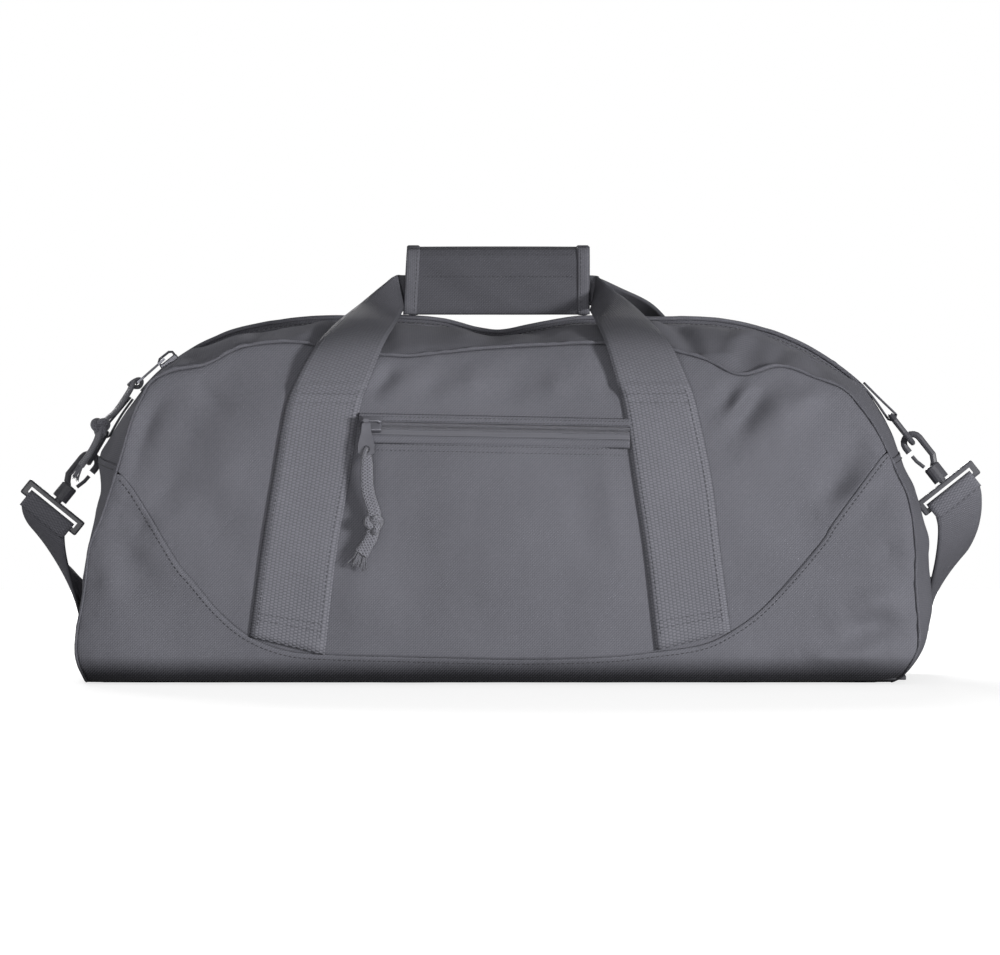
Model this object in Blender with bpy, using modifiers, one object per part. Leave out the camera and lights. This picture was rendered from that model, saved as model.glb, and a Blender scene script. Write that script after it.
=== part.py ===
"""A soft duffel bag: two webbing handles joined by a padded wrap, a zipped top, a zipped front
pocket and a clip-on shoulder strap.

Metres, +Z up. The origin is on the floor under the middle of the bag, +X runs along its
length and +Y points to its back. Every sub-part is its own closed solid.
"""

import math

import bmesh
import bpy
from mathutils import Matrix, Vector

# --- driving dimensions ---------------------------------------------------------------------
GAP = 0.0003  # left between pieces that touch
CLOTH = 0.0025  # a body panel, with its lining and seam allowance
POCKET_CLOTH = 0.0015
WEB = 0.0018  # handle webbing
STRAP = 0.0014  # shoulder webbing and the ring tabs

HALF_DEPTH = 0.140  # of the bag at the floor
LEAN = 0.036  # how far the front and back lean in at their top seam
PLAN_CURVE = 0.005  # how far their ends fall back
HALF_LENGTH = 0.290  # used to scale the plan curve
SEAM_TOP = 0.2315  # height of the front panel's top seam
TOP = 0.251  # height of the closed mouth
TOP_DIP = 0.0095  # how far the mouth sags under the grip
DIP_HALF_WIDTH = 0.075
SHOULDER_X = 0.137  # centre of the round shoulder
SHOULDER_Z = 0.100
SHOULDER_R = 0.151
SIDE_ANGLE = math.radians(20)  # where the round shoulder meets the side
SIDE_WIDEST = 0.2957
FLOOR_X = 0.2905
SEAM_ANGLE = math.radians(21.4)  # where the mouth gusset is sewn to the end panel

ZIP_ANGLE = math.radians(41)  # where the main zip ends on each shoulder
ZIP_SLOT = 0.007  # half the width of the slot that the main zip fills
COIL_HALF = 0.003
COIL_HEIGHT = 0.0016
TAPE = 0.001

POCKET_RISE = 0.0095  # how far the pocket stands off the front panel
POCKET_Z = (0.0235, 0.1660)
ZIP_Z = 0.1768  # pocket zip height at its slider
ZIP_SLOPE = math.radians(1.2)
SLIDER_X = -0.0905
TAB_LEAN = math.radians(-14)  # the pocket's pull tab hangs clear of the pocket's bulge

GRIP_X = (-0.067, 0.0595)
GRIP_Z = (0.2525, 0.3008)
GRIP_HALF = 0.0095  # half the thickness of the padded wrap
GRIP_PAD = 0.0030
FLAP_Y = (-0.0132, -0.0112)
FLAP_HINGE_Z = 0.2975

RING_WIRE = 0.002
RING_DEPTH = 0.024
RING_HALF = 0.0150
TAB_HALF = 0.0100  # half the width of the webbing tab that holds the ring
HOOK_WIRE = 0.0023
HOOK_BEND = 0.0060
HOOK_REACH = 0.040  # from the ring to the middle of the strap bar
STRAP_HALF = 0.019

STRAP_SPLIT = (7.75, 8.5)  # where a handle strap stops and where the part that tilts begins
HANDLE_HINGE_Z = 0.2495

CORD_R = 0.0016

PAINTS = {
    "cloth": ((0.105, 0.105, 0.113, 1.0), 0.85, 0.0),
    "webbing": ((0.115, 0.115, 0.122, 1.0), 0.80, 0.0),
    "plastic": ((0.055, 0.055, 0.060, 1.0), 0.45, 0.0),
    "zip": ((0.080, 0.080, 0.086, 1.0), 0.50, 0.0),
    "slider": ((0.085, 0.085, 0.090, 1.0), 0.40, 0.6),
    "cord": ((0.110, 0.110, 0.118, 1.0), 0.85, 0.0),
    "board": ((0.040, 0.040, 0.042, 1.0), 0.60, 0.0),
}


# --- scene, materials and small helpers -----------------------------------------------------
def clear_scene():
    """Remove every object that the scene starts with."""
    for item in list(bpy.data.objects):
        bpy.data.objects.remove(item, do_unlink=True)


def collection(name):
    """A collection of that name in the scene."""
    made = bpy.data.collections.new(name)
    bpy.context.scene.collection.children.link(made)
    return made


def paint(name):
    """The named material, made on first use."""
    found = bpy.data.materials.get(name)
    if found:
        return found
    made = bpy.data.materials.new(name)
    made.use_nodes = True
    shader = made.node_tree.nodes["Principled BSDF"]
    colour, roughness, metallic = PAINTS[name]
    shader.inputs["Base Color"].default_value = colour
    shader.inputs["Roughness"].default_value = roughness
    shader.inputs["Metallic"].default_value = metallic
    return made


def place(name, data, finish, matrix=None, home=None):
    """A new object in the bag's collection, or in home."""
    item = bpy.data.objects.new(name, data)
    (home or BAG).objects.link(item)
    if finish:
        data.materials.append(paint(finish))
    if matrix is not None:
        item.matrix_world = matrix
    return item


def smooth_through(points, steps):
    """Points on a Catmull-Rom curve through the given ones, steps to each span."""
    points = [Vector(p) for p in points]
    ends = [2 * points[0] - points[1]] + points + [2 * points[-1] - points[-2]]
    out = []
    for i in range(1, len(ends) - 2):
        for k in range(steps):
            out.append(spline_at(ends[i - 1 : i + 3], k / steps))
    return out + [points[-1]]


def spline_at(four, t):
    """A Catmull-Rom point at t between the middle two of four points."""
    a, b, c, d = four
    return 0.5 * (
        2 * b + (c - a) * t + (2 * a - 5 * b + 4 * c - d) * t * t + (3 * b - a - 3 * c + d) * t**3
    )


def ease(t):
    """0 to 1 with a level start and end."""
    t = min(max(t, 0.0), 1.0)
    return t * t * (3 - 2 * t)


def grid_mesh(name, rows, away, closed=False):
    """A mesh of quads through rows of points, its faces turned away from the point away."""
    mesh = bmesh.new()
    grid = [[mesh.verts.new(p) for p in row] for row in rows]
    for first, second in zip(grid, grid[1:] + grid[:1] if closed else grid[1:]):
        for k in range(len(first) - 1):
            mesh.faces.new((first[k], first[k + 1], second[k + 1], second[k]))
    return face_away(mesh, name, away)


def face_away(mesh, name, away):
    """Turn a sheet's faces away from a point, and make it a mesh with smooth shading."""
    bmesh.ops.recalc_face_normals(mesh, faces=mesh.faces)
    lean = sum((f.calc_center_median() - Vector(away)).dot(f.normal) for f in mesh.faces)
    if lean < 0:
        bmesh.ops.reverse_faces(mesh, faces=mesh.faces)
    data = bpy.data.meshes.new(name)
    mesh.to_mesh(data)
    mesh.free()
    data.shade_smooth()
    return data


def thicken(item, thickness, offset=-1.0):
    """Give a sheet its thickness, inwards by default."""
    shell = item.modifiers.new("thickness", "SOLIDIFY")
    shell.thickness = thickness
    shell.offset = offset
    shell.use_even_offset = True
    return item


def sheet(name, rows, thickness, finish, away=(0.0, 0.0, 0.1), closed=False, offset=-1.0):
    """A thick sheet through rows of points."""
    item = place(name, grid_mesh(name, rows, away, closed), finish)
    return thicken(item, thickness, offset)


def tube(name, points, radius, finish, closed=False, sides=2, matrix=None, home=None):
    """A round wire along the points, with filled caps."""
    curve = bpy.data.curves.new(name, "CURVE")
    curve.dimensions = "3D"
    curve.bevel_depth = radius
    curve.bevel_resolution = sides
    curve.use_fill_caps = True
    line = curve.splines.new("POLY")
    line.points.add(len(points) - 1)
    for knot, p in zip(line.points, points):
        knot.co = (*p, 1.0)
    line.use_cyclic_u = closed
    return place(name, curve, finish, matrix, home)


def plate(name, loops, half, finish, matrix=None, home=None):
    """A flat plate of closed outlines, the later ones being holes in the first."""
    curve = bpy.data.curves.new(name, "CURVE")
    curve.dimensions = "2D"
    curve.fill_mode = "BOTH"
    curve.extrude = half
    for loop in loops:
        line = curve.splines.new("POLY")
        line.points.add(len(loop) - 1)
        for knot, p in zip(line.points, loop):
            knot.co = (p[0], p[1], 0.0, 1.0)
        line.use_cyclic_u = True
    return place(name, curve, finish, matrix, home)


def turned(name, profile, finish, matrix=None, home=None, steps=16):
    """A profile in (radius, height) turned about local Z, listed from top to bottom."""
    mesh = bmesh.new()
    knots = [mesh.verts.new((r, 0.0, z)) for r, z in profile]
    for a, b in zip(knots, knots[1:]):
        mesh.edges.new((a, b))
    data = bpy.data.meshes.new(name)
    mesh.to_mesh(data)
    mesh.free()
    item = place(name, data, finish, matrix, home)
    screw = item.modifiers.new("turn", "SCREW")
    screw.steps = screw.render_steps = steps
    screw.use_merge_vertices = True
    screw.merge_threshold = 0.00005
    screw.use_smooth_shade = True
    return item


def block(name, size, finish, matrix, bevel=0.0, home=None):
    """A box with rounded edges."""
    mesh = bmesh.new()
    bmesh.ops.create_cube(mesh, size=1.0, matrix=Matrix.Diagonal((*size, 1.0)))
    data = bpy.data.meshes.new(name)
    mesh.to_mesh(data)
    mesh.free()
    item = place(name, data, finish, matrix, home)
    if bevel:
        edge = item.modifiers.new("edge", "BEVEL")
        edge.width = bevel
        edge.segments = 2
    return item


def as_mesh(item):
    """Bake an object to a plain mesh object of the same name, with its caps welded."""
    graph = bpy.context.evaluated_depsgraph_get()
    data = bpy.data.meshes.new_from_object(item.evaluated_get(graph))
    mesh = bmesh.new()
    mesh.from_mesh(data)
    bmesh.ops.remove_doubles(mesh, verts=mesh.verts, dist=0.00002)
    bmesh.ops.recalc_face_normals(mesh, faces=mesh.faces)
    mesh.to_mesh(data)
    mesh.free()
    name, matrix, home = item.name, item.matrix_world.copy(), item.users_collection[0]
    bpy.data.objects.remove(item, do_unlink=True)
    made = bpy.data.objects.new(name, data)
    home.objects.link(made)
    made.matrix_world = matrix
    return made


def join(item, tool, operation):
    """Union with, or difference from, a tool that stays behind as a hidden cutter."""
    for old in list(tool.users_collection):
        old.objects.unlink(tool)
    CUTTERS.objects.link(tool)
    tool.hide_render = True
    tool.display_type = "WIRE"
    step = item.modifiers.new(operation.lower(), "BOOLEAN")
    step.operation = operation
    step.object = tool
    return item


def pivot(name, at, items):
    """An empty on a joint's axis that carries the pieces of its body."""
    empty = bpy.data.objects.new(name, None)
    BAG.objects.link(empty)
    empty.location = at
    empty.empty_display_size = 0.02
    bpy.context.view_layer.update()
    for item in items:
        item.parent = empty
        item.matrix_parent_inverse = empty.matrix_world.inverted()
    return empty


def hang(child, parent):
    """Parent one pivot to another without moving it."""
    bpy.context.view_layer.update()
    child.parent = parent
    child.matrix_parent_inverse = parent.matrix_world.inverted()


def frame_at(origin, x_axis, z_axis):
    """A matrix with its origin and two of its axes given."""
    z = Vector(z_axis).normalized()
    y = z.cross(Vector(x_axis)).normalized()
    x = y.cross(z)
    turn = Matrix((x, y, z)).transposed().to_4x4()
    return Matrix.Translation(origin) @ turn


# --- the shape of the bag -------------------------------------------------------------------
def half_depth(x, z):
    """Distance of the front or back panel's outer face from the middle plane."""
    rise = max(z, 0.0) / SEAM_TOP
    return HALF_DEPTH - LEAN * rise**3 - PLAN_CURVE * (x / HALF_LENGTH) ** 2 * rise


def front_y(x, z, off=0.0):
    """Y of a point that stands off the front panel."""
    return -half_depth(x, z) - off


SIDE = smooth_through(
    [
        (
            SHOULDER_X + SHOULDER_R * math.cos(SIDE_ANGLE),
            SHOULDER_Z + SHOULDER_R * math.sin(SIDE_ANGLE),
        ),
        (0.2855, 0.100),
        (0.2925, 0.060),
        (SIDE_WIDEST, 0.035),
        (FLOOR_X, 0.0),
    ],
    6,
)
ARC_LENGTH = SHOULDER_R * (math.pi / 2 - SIDE_ANGLE)
SIDE_LENGTH = sum((b - a).length for a, b in zip(SIDE, SIDE[1:]))
ROUND_END = SHOULDER_X + ARC_LENGTH
GIRTH = ROUND_END + SIDE_LENGTH  # from the middle of the mouth down to the floor


def girth_at(angle):
    """Distance along the outline of a place on the round shoulder."""
    return SHOULDER_X + SHOULDER_R * (math.pi / 2 - angle)


def shoulder(angle, lift=0.0, sign=-1.0, y=0.0):
    """A point on the round shoulder, lift outside it. The angle is 0 at the side."""
    r = SHOULDER_R + lift
    return Vector((sign * (SHOULDER_X + r * math.cos(angle)), y, SHOULDER_Z + r * math.sin(angle)))


def station(girth):
    """The bag's middle outline and its front seam, as (x, z) pairs, at a distance along it."""
    sign = -1.0 if girth < 0 else 1.0
    g = min(abs(girth), GIRTH)
    if g <= SHOULDER_X:
        dip = TOP_DIP * 0.5 * (1 + math.cos(math.pi * min(g / DIP_HALF_WIDTH, 1.0)))
        mid, seam = (g, TOP - dip), (g * 0.99, SEAM_TOP)
    elif g <= ROUND_END:
        angle = math.pi / 2 - (g - SHOULDER_X) / SHOULDER_R
        mid = shoulder(angle, sign=1.0).xz
        low = (math.sin(angle) - math.sin(SIDE_ANGLE)) / (1 - math.sin(SIDE_ANGLE))
        seam = shoulder(angle, -0.0110 - 0.0085 * low, sign=1.0).xz
        seam = (seam[0] - 0.00137 * low, seam[1])
    else:
        along, left = 0, g - ROUND_END
        while along < len(SIDE) - 2 and left > (SIDE[along + 1] - SIDE[along]).length:
            left -= (SIDE[along + 1] - SIDE[along]).length
            along += 1
        a, b = SIDE[along], SIDE[along + 1]
        mid = a + (b - a) * min(left / (b - a).length, 1.0)
        inset = 0.003 + 0.0074 * ease(mid[1] / 0.150)
        seam = (mid[0] - inset, mid[1])
    return (sign * mid[0], mid[1]), (sign * seam[0], seam[1])


def gusset_point(girth, across):
    """A point on the band round the bag: across is -1 at the front seam and 1 at the back."""
    mid, seam = station(girth)
    blend = across * across
    deep = half_depth(*seam) - CLOTH - GAP
    x = mid[0] + (seam[0] - mid[0]) * blend
    z = mid[1] + (seam[1] - mid[1]) * blend
    return Vector((x, across * deep, z))


def spread(low, high, count):
    """Evenly spaced numbers, ends included."""
    return [low + (high - low) * k / count for k in range(count + 1)]


# --- body panels ----------------------------------------------------------------------------
def outline_points():
    """The front panel's outline: up the left side, over the top, down and back on the floor."""
    upper = [station(g)[1] for g in spread(-GIRTH, GIRTH, 52)]
    right = upper[-1][0]
    floor = [(x, 0.0) for x in spread(right, -right, 14)[1:-1]]
    return [Vector((x, max(z, GAP))) for x, z in upper + floor]


BOOT_HALF = [(0.300, 0.205), (0.262, 0.150), (0.222, 0.090), (0.175, 0.036), (0.130, 0.0215)]
BOOT_LINE = smooth_through(
    [(-x, z) for x, z in BOOT_HALF] + [(0.0, 0.018)] + BOOT_HALF[::-1], 6
)
PANEL_HUB = Vector((0.0, 0.120))


def boot_hit(point):
    """Where the line from the panel's middle to a point crosses the lower panel's seam."""
    ray = point - PANEL_HUB
    for a, b in zip(BOOT_LINE, BOOT_LINE[1:]):
        edge = b - a
        down = ray.x * edge.y - ray.y * edge.x
        if abs(down) < 1e-12:
            continue
        to_a = a - PANEL_HUB
        along = (to_a.x * edge.y - to_a.y * edge.x) / down
        part = (to_a.x * ray.y - to_a.y * ray.x) / down
        if along > 0 and 0 <= part <= 1:
            return PANEL_HUB + ray * along
    return None


def panel_pieces(side, word):
    """The upper and the lower panel of the front (side -1) or the back (side 1)."""
    outer = outline_points()
    inner, boot = [], []
    for p in outer:
        hit = boot_hit(p)
        inside = hit is not None and (p - hit).length > 0.004 and (p - PANEL_HUB).dot(p - hit) > 0
        inner.append(hit if inside else p)
        boot.append(inside)

    def lift(p):
        return Vector((p.x, side * half_depth(p.x, p.y), p.y))

    mesh = bmesh.new()
    rings = []
    for share in (1.0, 0.78, 0.54, 0.28):
        rings.append([mesh.verts.new(lift(PANEL_HUB + (q - PANEL_HUB) * share)) for q in inner])
    hub = mesh.verts.new(lift(PANEL_HUB))
    count = len(inner)
    for far, near in zip(rings, rings[1:]):
        for k in range(count):
            m = (k + 1) % count
            mesh.faces.new((far[k], far[m], near[m], near[k]))
    for k in range(count):
        mesh.faces.new((rings[-1][k], rings[-1][(k + 1) % count], hub))
    name = f"{word}_panel"
    thicken(place(name, face_away(mesh, name, (0, 0, 0.1)), "cloth"), CLOTH)

    first = next(k for k in range(count) if boot[k] and not boot[k - 1])
    order = [(first + k) % count for k in range(count) if boot[(first + k) % count]]
    rows = []
    for k in order:
        edge = inner[k] + (outer[k] - inner[k]).normalized() * GAP
        rows.append([lift(edge), lift((edge + outer[k]) / 2), lift(outer[k])])
    sheet(f"{word}_lower_panel", rows, CLOTH, "cloth")


def gusset(name, low, high, across, steps):
    """A stretch of the band round the bag, between two girths and at the given places across."""
    rows = [[gusset_point(g, w) for w in across] for g in spread(low, high, steps)]
    return sheet(name, rows, CLOTH, "cloth")


def slot_edge(girth):
    """The share across at which a mouth panel stops beside the zip."""
    return ZIP_SLOT / (half_depth(*station(girth)[1]) - CLOTH - GAP)


def mouth_panel(name, side):
    """The front (side -1) or back (side 1) half of the band that the main zip closes."""
    end = girth_at(SEAM_ANGLE) - GAP
    rows = []
    for g in spread(-end, end, 36):
        start = slot_edge(g)
        rows.append([gusset_point(g, side * w) for w in spread(start, 1.0, 5)])
    return sheet(name, rows, CLOTH, "cloth")


def body_shell():
    """All the cloth panels, the floor and the stiff board on it."""
    for side, word in ((-1, "front"), (1, "back")):
        panel_pieces(side, word)
        mouth_panel(f"mouth_{word}_panel", side)
    start = girth_at(SEAM_ANGLE) + 3 * GAP
    across = spread(-1.0, 1.0, 10)
    gusset("left_end_panel", -GIRTH, -start, across, 10)
    gusset("right_end_panel", start, GIRTH, across, 10)
    inner = FLOOR_X - 0.003 - CLOTH - GAP - 0.0002
    deep = HALF_DEPTH - CLOTH - GAP
    middle = Matrix.Translation((0, 0, CLOTH / 2))
    block("bottom_panel", (2 * inner, 2 * deep, CLOTH), "cloth", middle)
    board = Matrix.Translation((0, 0, CLOTH + GAP + 0.0015))
    block("base_board", (0.552, 0.256, 0.003), "board", board, 0.0006)


# --- zips -----------------------------------------------------------------------------------
def main_zip():
    """The tape halves, the closed coil and the cloth tabs that cover the zip's two ends."""
    end = girth_at(ZIP_ANGLE)
    tab_end = girth_at(SEAM_ANGLE) - GAP

    def strip(name, low, high, edges, drop, thickness, finish, steps):
        rows = []
        for g in spread(low, high, steps):
            mid = Vector((station(g)[0][0], 0.0, station(g)[0][1]))
            here, there = station(g - 0.001)[0], station(g + 0.001)[0]
            along = Vector((there[0] - here[0], 0.0, there[1] - here[1])).normalized()
            out = Vector((-along.z, 0.0, along.x))
            rows.append([mid - out * drop + Vector((0, y, 0)) for y in edges])
        return sheet(name, rows, thickness, finish)

    near, far = 0.00015, ZIP_SLOT - GAP
    strip("main_zip_tape_front", -end, end, (-far, -near), 0.0012, TAPE, "zip", 36)
    strip("main_zip_tape_back", -end, end, (near, far), 0.0012, TAPE, "zip", 36)
    coil_top = -(COIL_HEIGHT + GAP - 0.0012)
    edges = (-COIL_HALF, 0.0, COIL_HALF)
    strip("main_zip_coil", -end, end, edges, coil_top, COIL_HEIGHT, "zip", 40)
    wide = (-far, 0.0, far)
    strip("zip_end_tab_left", -tab_end, -end - GAP, wide, 0.0, CLOTH, "cloth", 5)
    strip("zip_end_tab_right", end + GAP, tab_end, wide, 0.0, CLOTH, "cloth", 5)


def slider_body(name, frame, length=0.014):
    """A zip slider: x runs along the zip and z out of it. Its groove straddles the coil."""
    lift = 0.0003
    height = 0.0042
    middle = frame @ Matrix.Translation((0, 0, lift + height / 2))
    body = block(name, (length, 0.0115, height), "slider", middle, 0.0008)
    groove = block(
        f"{name}_groove",
        (length * 2, 2 * COIL_HALF + 0.0008, 2 * (COIL_HEIGHT + 0.0006)),
        None,
        frame @ Matrix.Translation((0, 0, lift)),
        home=CUTTERS,
    )
    join(body, groove, "DIFFERENCE")
    return body, lift + height


def main_slider():
    """The main zip's slider on the left shoulder, with its pull tab and knotted cord."""
    angle = math.radians(51.6)
    at = shoulder(angle, -0.0006)
    out = shoulder(angle, 1.0) - shoulder(angle)
    along = Vector((-out.z, 0.0, out.x))
    frame = frame_at(at, along, out)
    body, top = slider_body("main_slider", frame)
    bridge = [
        (0.0060, 0, top - 0.0012),
        (0.0060, 0, top + 0.0022),
        (0.0040, 0, top + 0.0036),
        (-0.0040, 0, top + 0.0036),
        (-0.0060, 0, top + 0.0022),
        (-0.0060, 0, top - 0.0012),
    ]
    arch = as_mesh(tube("main_slider_bridge", bridge, 0.0009, "slider", matrix=frame))
    join(body, arch, "UNION")

    # the tab points down the shoulder from a bar that lies under the bridge
    bar = frame @ Matrix.Translation((0.0022, 0, top + 0.0016))
    tab = pull_tab("main_pull_tab", bar @ Matrix.Rotation(math.radians(3), 4, "Y"))
    hole = bar @ Matrix.Rotation(math.radians(3), 4, "Y") @ Vector((0.0215, 0, 0))
    cord = main_cord(hole)
    slide = pivot("main_zip_pivot", (-SHOULDER_X, 0, SHOULDER_Z), [body])
    swing = pivot("main_pull_pivot", bar.translation, [tab])
    droop = pivot("main_cord_pivot", hole, cord)
    hang(swing, slide)
    hang(droop, swing)


def ring_of(radius, centre, count=14, turn=0.0):
    """Points round a circle in a plane."""
    step = 2 * math.pi / count
    return [
        (
            centre[0] + radius * math.cos(turn + k * step),
            centre[1] + radius * math.sin(turn + k * step),
        )
        for k in range(count)
    ]


def pull_tab(name, matrix):
    """A flat pull tab that hangs along +x from a cross bar at its origin."""
    outline = [
        (-0.0010, -0.0036),
        (0.0050, -0.0036),
        (0.0180, -0.0056),
        (0.0240, -0.0056),
        (0.0256, -0.0040),
        (0.0256, 0.0040),
        (0.0240, 0.0056),
        (0.0180, 0.0056),
        (0.0050, 0.0036),
        (-0.0010, 0.0036),
    ]
    window = [(0.0008, -0.0021), (0.0092, -0.0021), (0.0092, 0.0021), (0.0008, 0.0021)]
    hole = ring_of(0.0027, (0.0215, 0.0))
    return plate(name, [outline, window, hole], 0.0008, "slider", matrix)


def cord_set(stem, loop, knot_at, tails, knot_r=0.0052):
    """A cord doubled through a pull tab, its knot and its tails, as separate solids."""
    pieces = [tube(f"{stem}_loop", smooth_through(loop, 4), CORD_R, "cord")]
    ball = bmesh.new()
    size = Matrix.Diagonal((1.0, 0.85, 1.1, 1.0))
    bmesh.ops.create_uvsphere(ball, u_segments=12, v_segments=8, radius=knot_r, matrix=size)
    data = bpy.data.meshes.new(f"{stem}_knot")
    ball.to_mesh(data)
    ball.free()
    data.shade_smooth()
    pieces.append(place(f"{stem}_knot", data, "cord", Matrix.Translation(knot_at)))
    for k, tail in enumerate(tails):
        name = f"{stem}_tail" if len(tails) == 1 else f"{stem}_tail_{k + 1}"
        pieces.append(tube(name, smooth_through(tail, 4), CORD_R, "cord"))
    return pieces


def main_cord(hole):
    """The main pull's cord, which drapes over the left shoulder in front of the strap ring."""
    knot = Vector((-0.2790, -0.0270, 0.1750))
    rim = 0.0034
    out = (hole - Vector((-SHOULDER_X, 0, SHOULDER_Z))).normalized()
    down = Vector((-out.z, 0.0, out.x))
    if down.z > 0:
        down = -down
    path = [
        knot + Vector((0.0022, 0.0042, 0.0062)),
        shoulder(math.radians(33), 0.0070, y=-0.0190),
        shoulder(math.radians(39), 0.0085, y=-0.0085),
        hole + out * 0.0034 + down * 0.0060 + Vector((0, -0.0030, 0)),
        hole + out * 0.0020 + down * 0.0002,
        hole - out * 0.0008 - down * 0.0004,
        hole - out * 0.0030 + down * rim,
        shoulder(math.radians(39), 0.0042, y=-0.0120),
        shoulder(math.radians(34), 0.0042, y=-0.0160),
        knot + Vector((0.0060, 0.0060, -0.0008)),
    ]
    tails = [
        [
            knot + Vector((-0.0030, -0.0006, -0.0064)),
            Vector((-0.2855, -0.0290, 0.1630)),
            Vector((-0.2890, -0.0290, 0.1570)),
        ],
        [
            knot + Vector((0.0010, -0.0022, -0.0072)),
            Vector((-0.2850, -0.0330, 0.1555)),
            Vector((-0.2940, -0.0330, 0.1460)),
            Vector((-0.2985, -0.0330, 0.1350)),
        ],
    ]
    return cord_set("main_cord", path, knot, tails)


def pocket():
    """The front pocket, its zip tape and coil, and the slider, tab and cord that work it."""
    low, high = POCKET_Z

    def edges(share_up):
        rise = (high - low) * share_up
        return -0.1213 + 0.1444 * rise, 0.1030 - 0.1338 * rise, low + rise

    across = (0.0, 0.035, 0.25, 0.5, 0.75, 0.965, 1.0)
    upward = (0.0, 0.045, 0.25, 0.45, 0.65, 0.85, 1.0)
    rows = []
    for q in upward:
        left, right, level = edges(q)
        row = []
        for p in across:
            share = min(1.0, min(p, 1 - p) / 0.035, q / 0.045)
            x = left + (right - left) * p
            z = level - math.tan(ZIP_SLOPE) * (x - SLIDER_X) * q
            off = POCKET_CLOTH + 0.0012 + (POCKET_RISE - POCKET_CLOTH - 0.0012) * share
            row.append(Vector((x, front_y(x, z, off), z)))
        rows.append(row)
    sheet("pocket_panel", rows, POCKET_CLOTH, "cloth")

    left, right = -0.0985, 0.0820
    slope = math.tan(ZIP_SLOPE)

    def zip_row(x, levels):
        drop = slope * (x - SLIDER_X)
        return [Vector((x, front_y(0, z, off), z - drop)) for z, off in levels]

    tape_levels = ((0.1683, 0.0092), (0.1768, 0.0066), (0.1868, 0.0036))
    tape = [zip_row(x, tape_levels) for x in spread(left, right, 6)]
    sheet("pocket_zip_tape", tape, TAPE, "zip")
    frame = pocket_zip_frame(SLIDER_X)
    length = right - left - 0.004
    middle = (left + right) / 2 - SLIDER_X
    shift = Matrix.Translation((middle, 0, COIL_HEIGHT / 2 + GAP))
    block("pocket_zip_coil", (length, 2 * COIL_HALF, COIL_HEIGHT), "zip", frame @ shift)

    body, top = slider_body("pocket_slider", frame @ Matrix.Translation((0, 0, 0.0002)))
    top += 0.0002
    post = [
        (0.0055, 0, top - 0.0012),
        (0.0055, 0, top + 0.0020),
        (0.0040, 0, top + 0.0030),
        (-0.0058, 0, top + 0.0030),
        (-0.0068, 0, top + 0.0020),
        (-0.0068, 0, top - 0.0012),
    ]
    arch = as_mesh(tube("pocket_slider_bridge", post, 0.0009, "slider", matrix=frame))
    join(body, arch, "UNION")

    eye = frame @ Vector((-0.0035, 0, top + 0.0030))
    tab = pocket_tab(eye)
    lean = Matrix.Rotation(TAB_LEAN, 4, "X")
    hole = eye + lean @ Vector((0, -0.0008, -0.0205))
    cord = pocket_cord(hole)
    run = pivot("pocket_zip_pivot", frame.translation, [body])
    swing = pivot("pocket_pull_pivot", eye, [tab])
    droop = pivot("pocket_cord_pivot", hole, cord)
    hang(swing, run)
    hang(droop, swing)


def pocket_zip_frame(x):
    """The pocket zip's line at x: local x along the zip and z out of the tape."""
    drop = math.tan(ZIP_SLOPE) * (x - SLIDER_X)
    low = Vector((0, front_y(0, 0.1683, 0.0092), 0.1683))
    high = Vector((0, front_y(0, 0.1868, 0.0036), 0.1868))
    up = (high - low).normalized()
    along = Vector((math.cos(ZIP_SLOPE), 0, -math.sin(ZIP_SLOPE)))
    out = along.cross(up)
    at = Vector((x, front_y(0, ZIP_Z, 0.0066), ZIP_Z - drop))
    return frame_at(at - out * 0.0001, along, out)


def pocket_tab(eye):
    """The pocket's pull tab: an eye rolled round the slider's bridge, and a flat plate."""
    lean = Matrix.Rotation(TAB_LEAN, 4, "X")
    face = lean @ Vector((0, -1, 0))
    flat = frame_at(eye + face * 0.0008, lean @ Vector((0, 0, -1)), face)
    outline = [
        (0.0022, -0.0030),
        (0.0080, -0.0034),
        (0.0170, -0.0056),
        (0.0230, -0.0056),
        (0.0246, -0.0040),
        (0.0246, 0.0040),
        (0.0230, 0.0056),
        (0.0170, 0.0056),
        (0.0080, 0.0034),
        (0.0022, 0.0030),
    ]
    hole = ring_of(0.0027, (0.0205, 0.0))
    tab = as_mesh(plate("pocket_pull_tab", [outline, hole], 0.0008, "slider", flat))
    around = frame_at(eye, (0, 0, 1), (1, 0, 0))
    rims = [ring_of(0.0028, (0, 0), 16), ring_of(0.0015, (0, 0), 16)]
    roll = as_mesh(plate("pocket_pull_eye", rims, 0.0019, "slider", around))
    return join(tab, roll, "UNION")


def pocket_cord(hole):
    """The pocket pull's doubled cord, its knot and its tail, hanging in front of the pocket."""
    knot = hole + Vector((0.0050, -0.0095, -0.0510))
    rim = 0.0036
    path = [
        knot + Vector((-0.0024, 0.0004, 0.0072)),
        hole + Vector((-0.0012, -0.0068, -0.0300)),
        hole + Vector((-0.0022, -0.0052, -0.0110)),
        hole + Vector((0.0, -0.0030, -0.0020)),
        hole + Vector((0.0, 0.0, 0.0004)),
        hole + Vector((0.0, 0.0026, -rim)),
        hole + Vector((0.0026, -0.0020, -0.0110)),
        hole + Vector((0.0032, -0.0058, -0.0300)),
        knot + Vector((0.0026, 0.0010, 0.0072)),
    ]
    tail = [
        knot + Vector((-0.0012, 0.0, -0.0080)),
        knot + Vector((-0.0050, 0.0, -0.0160)),
        knot + Vector((-0.0110, 0.0, -0.0260)),
    ]
    return cord_set("pocket_cord", path, knot, [tail], 0.0056)


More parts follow.
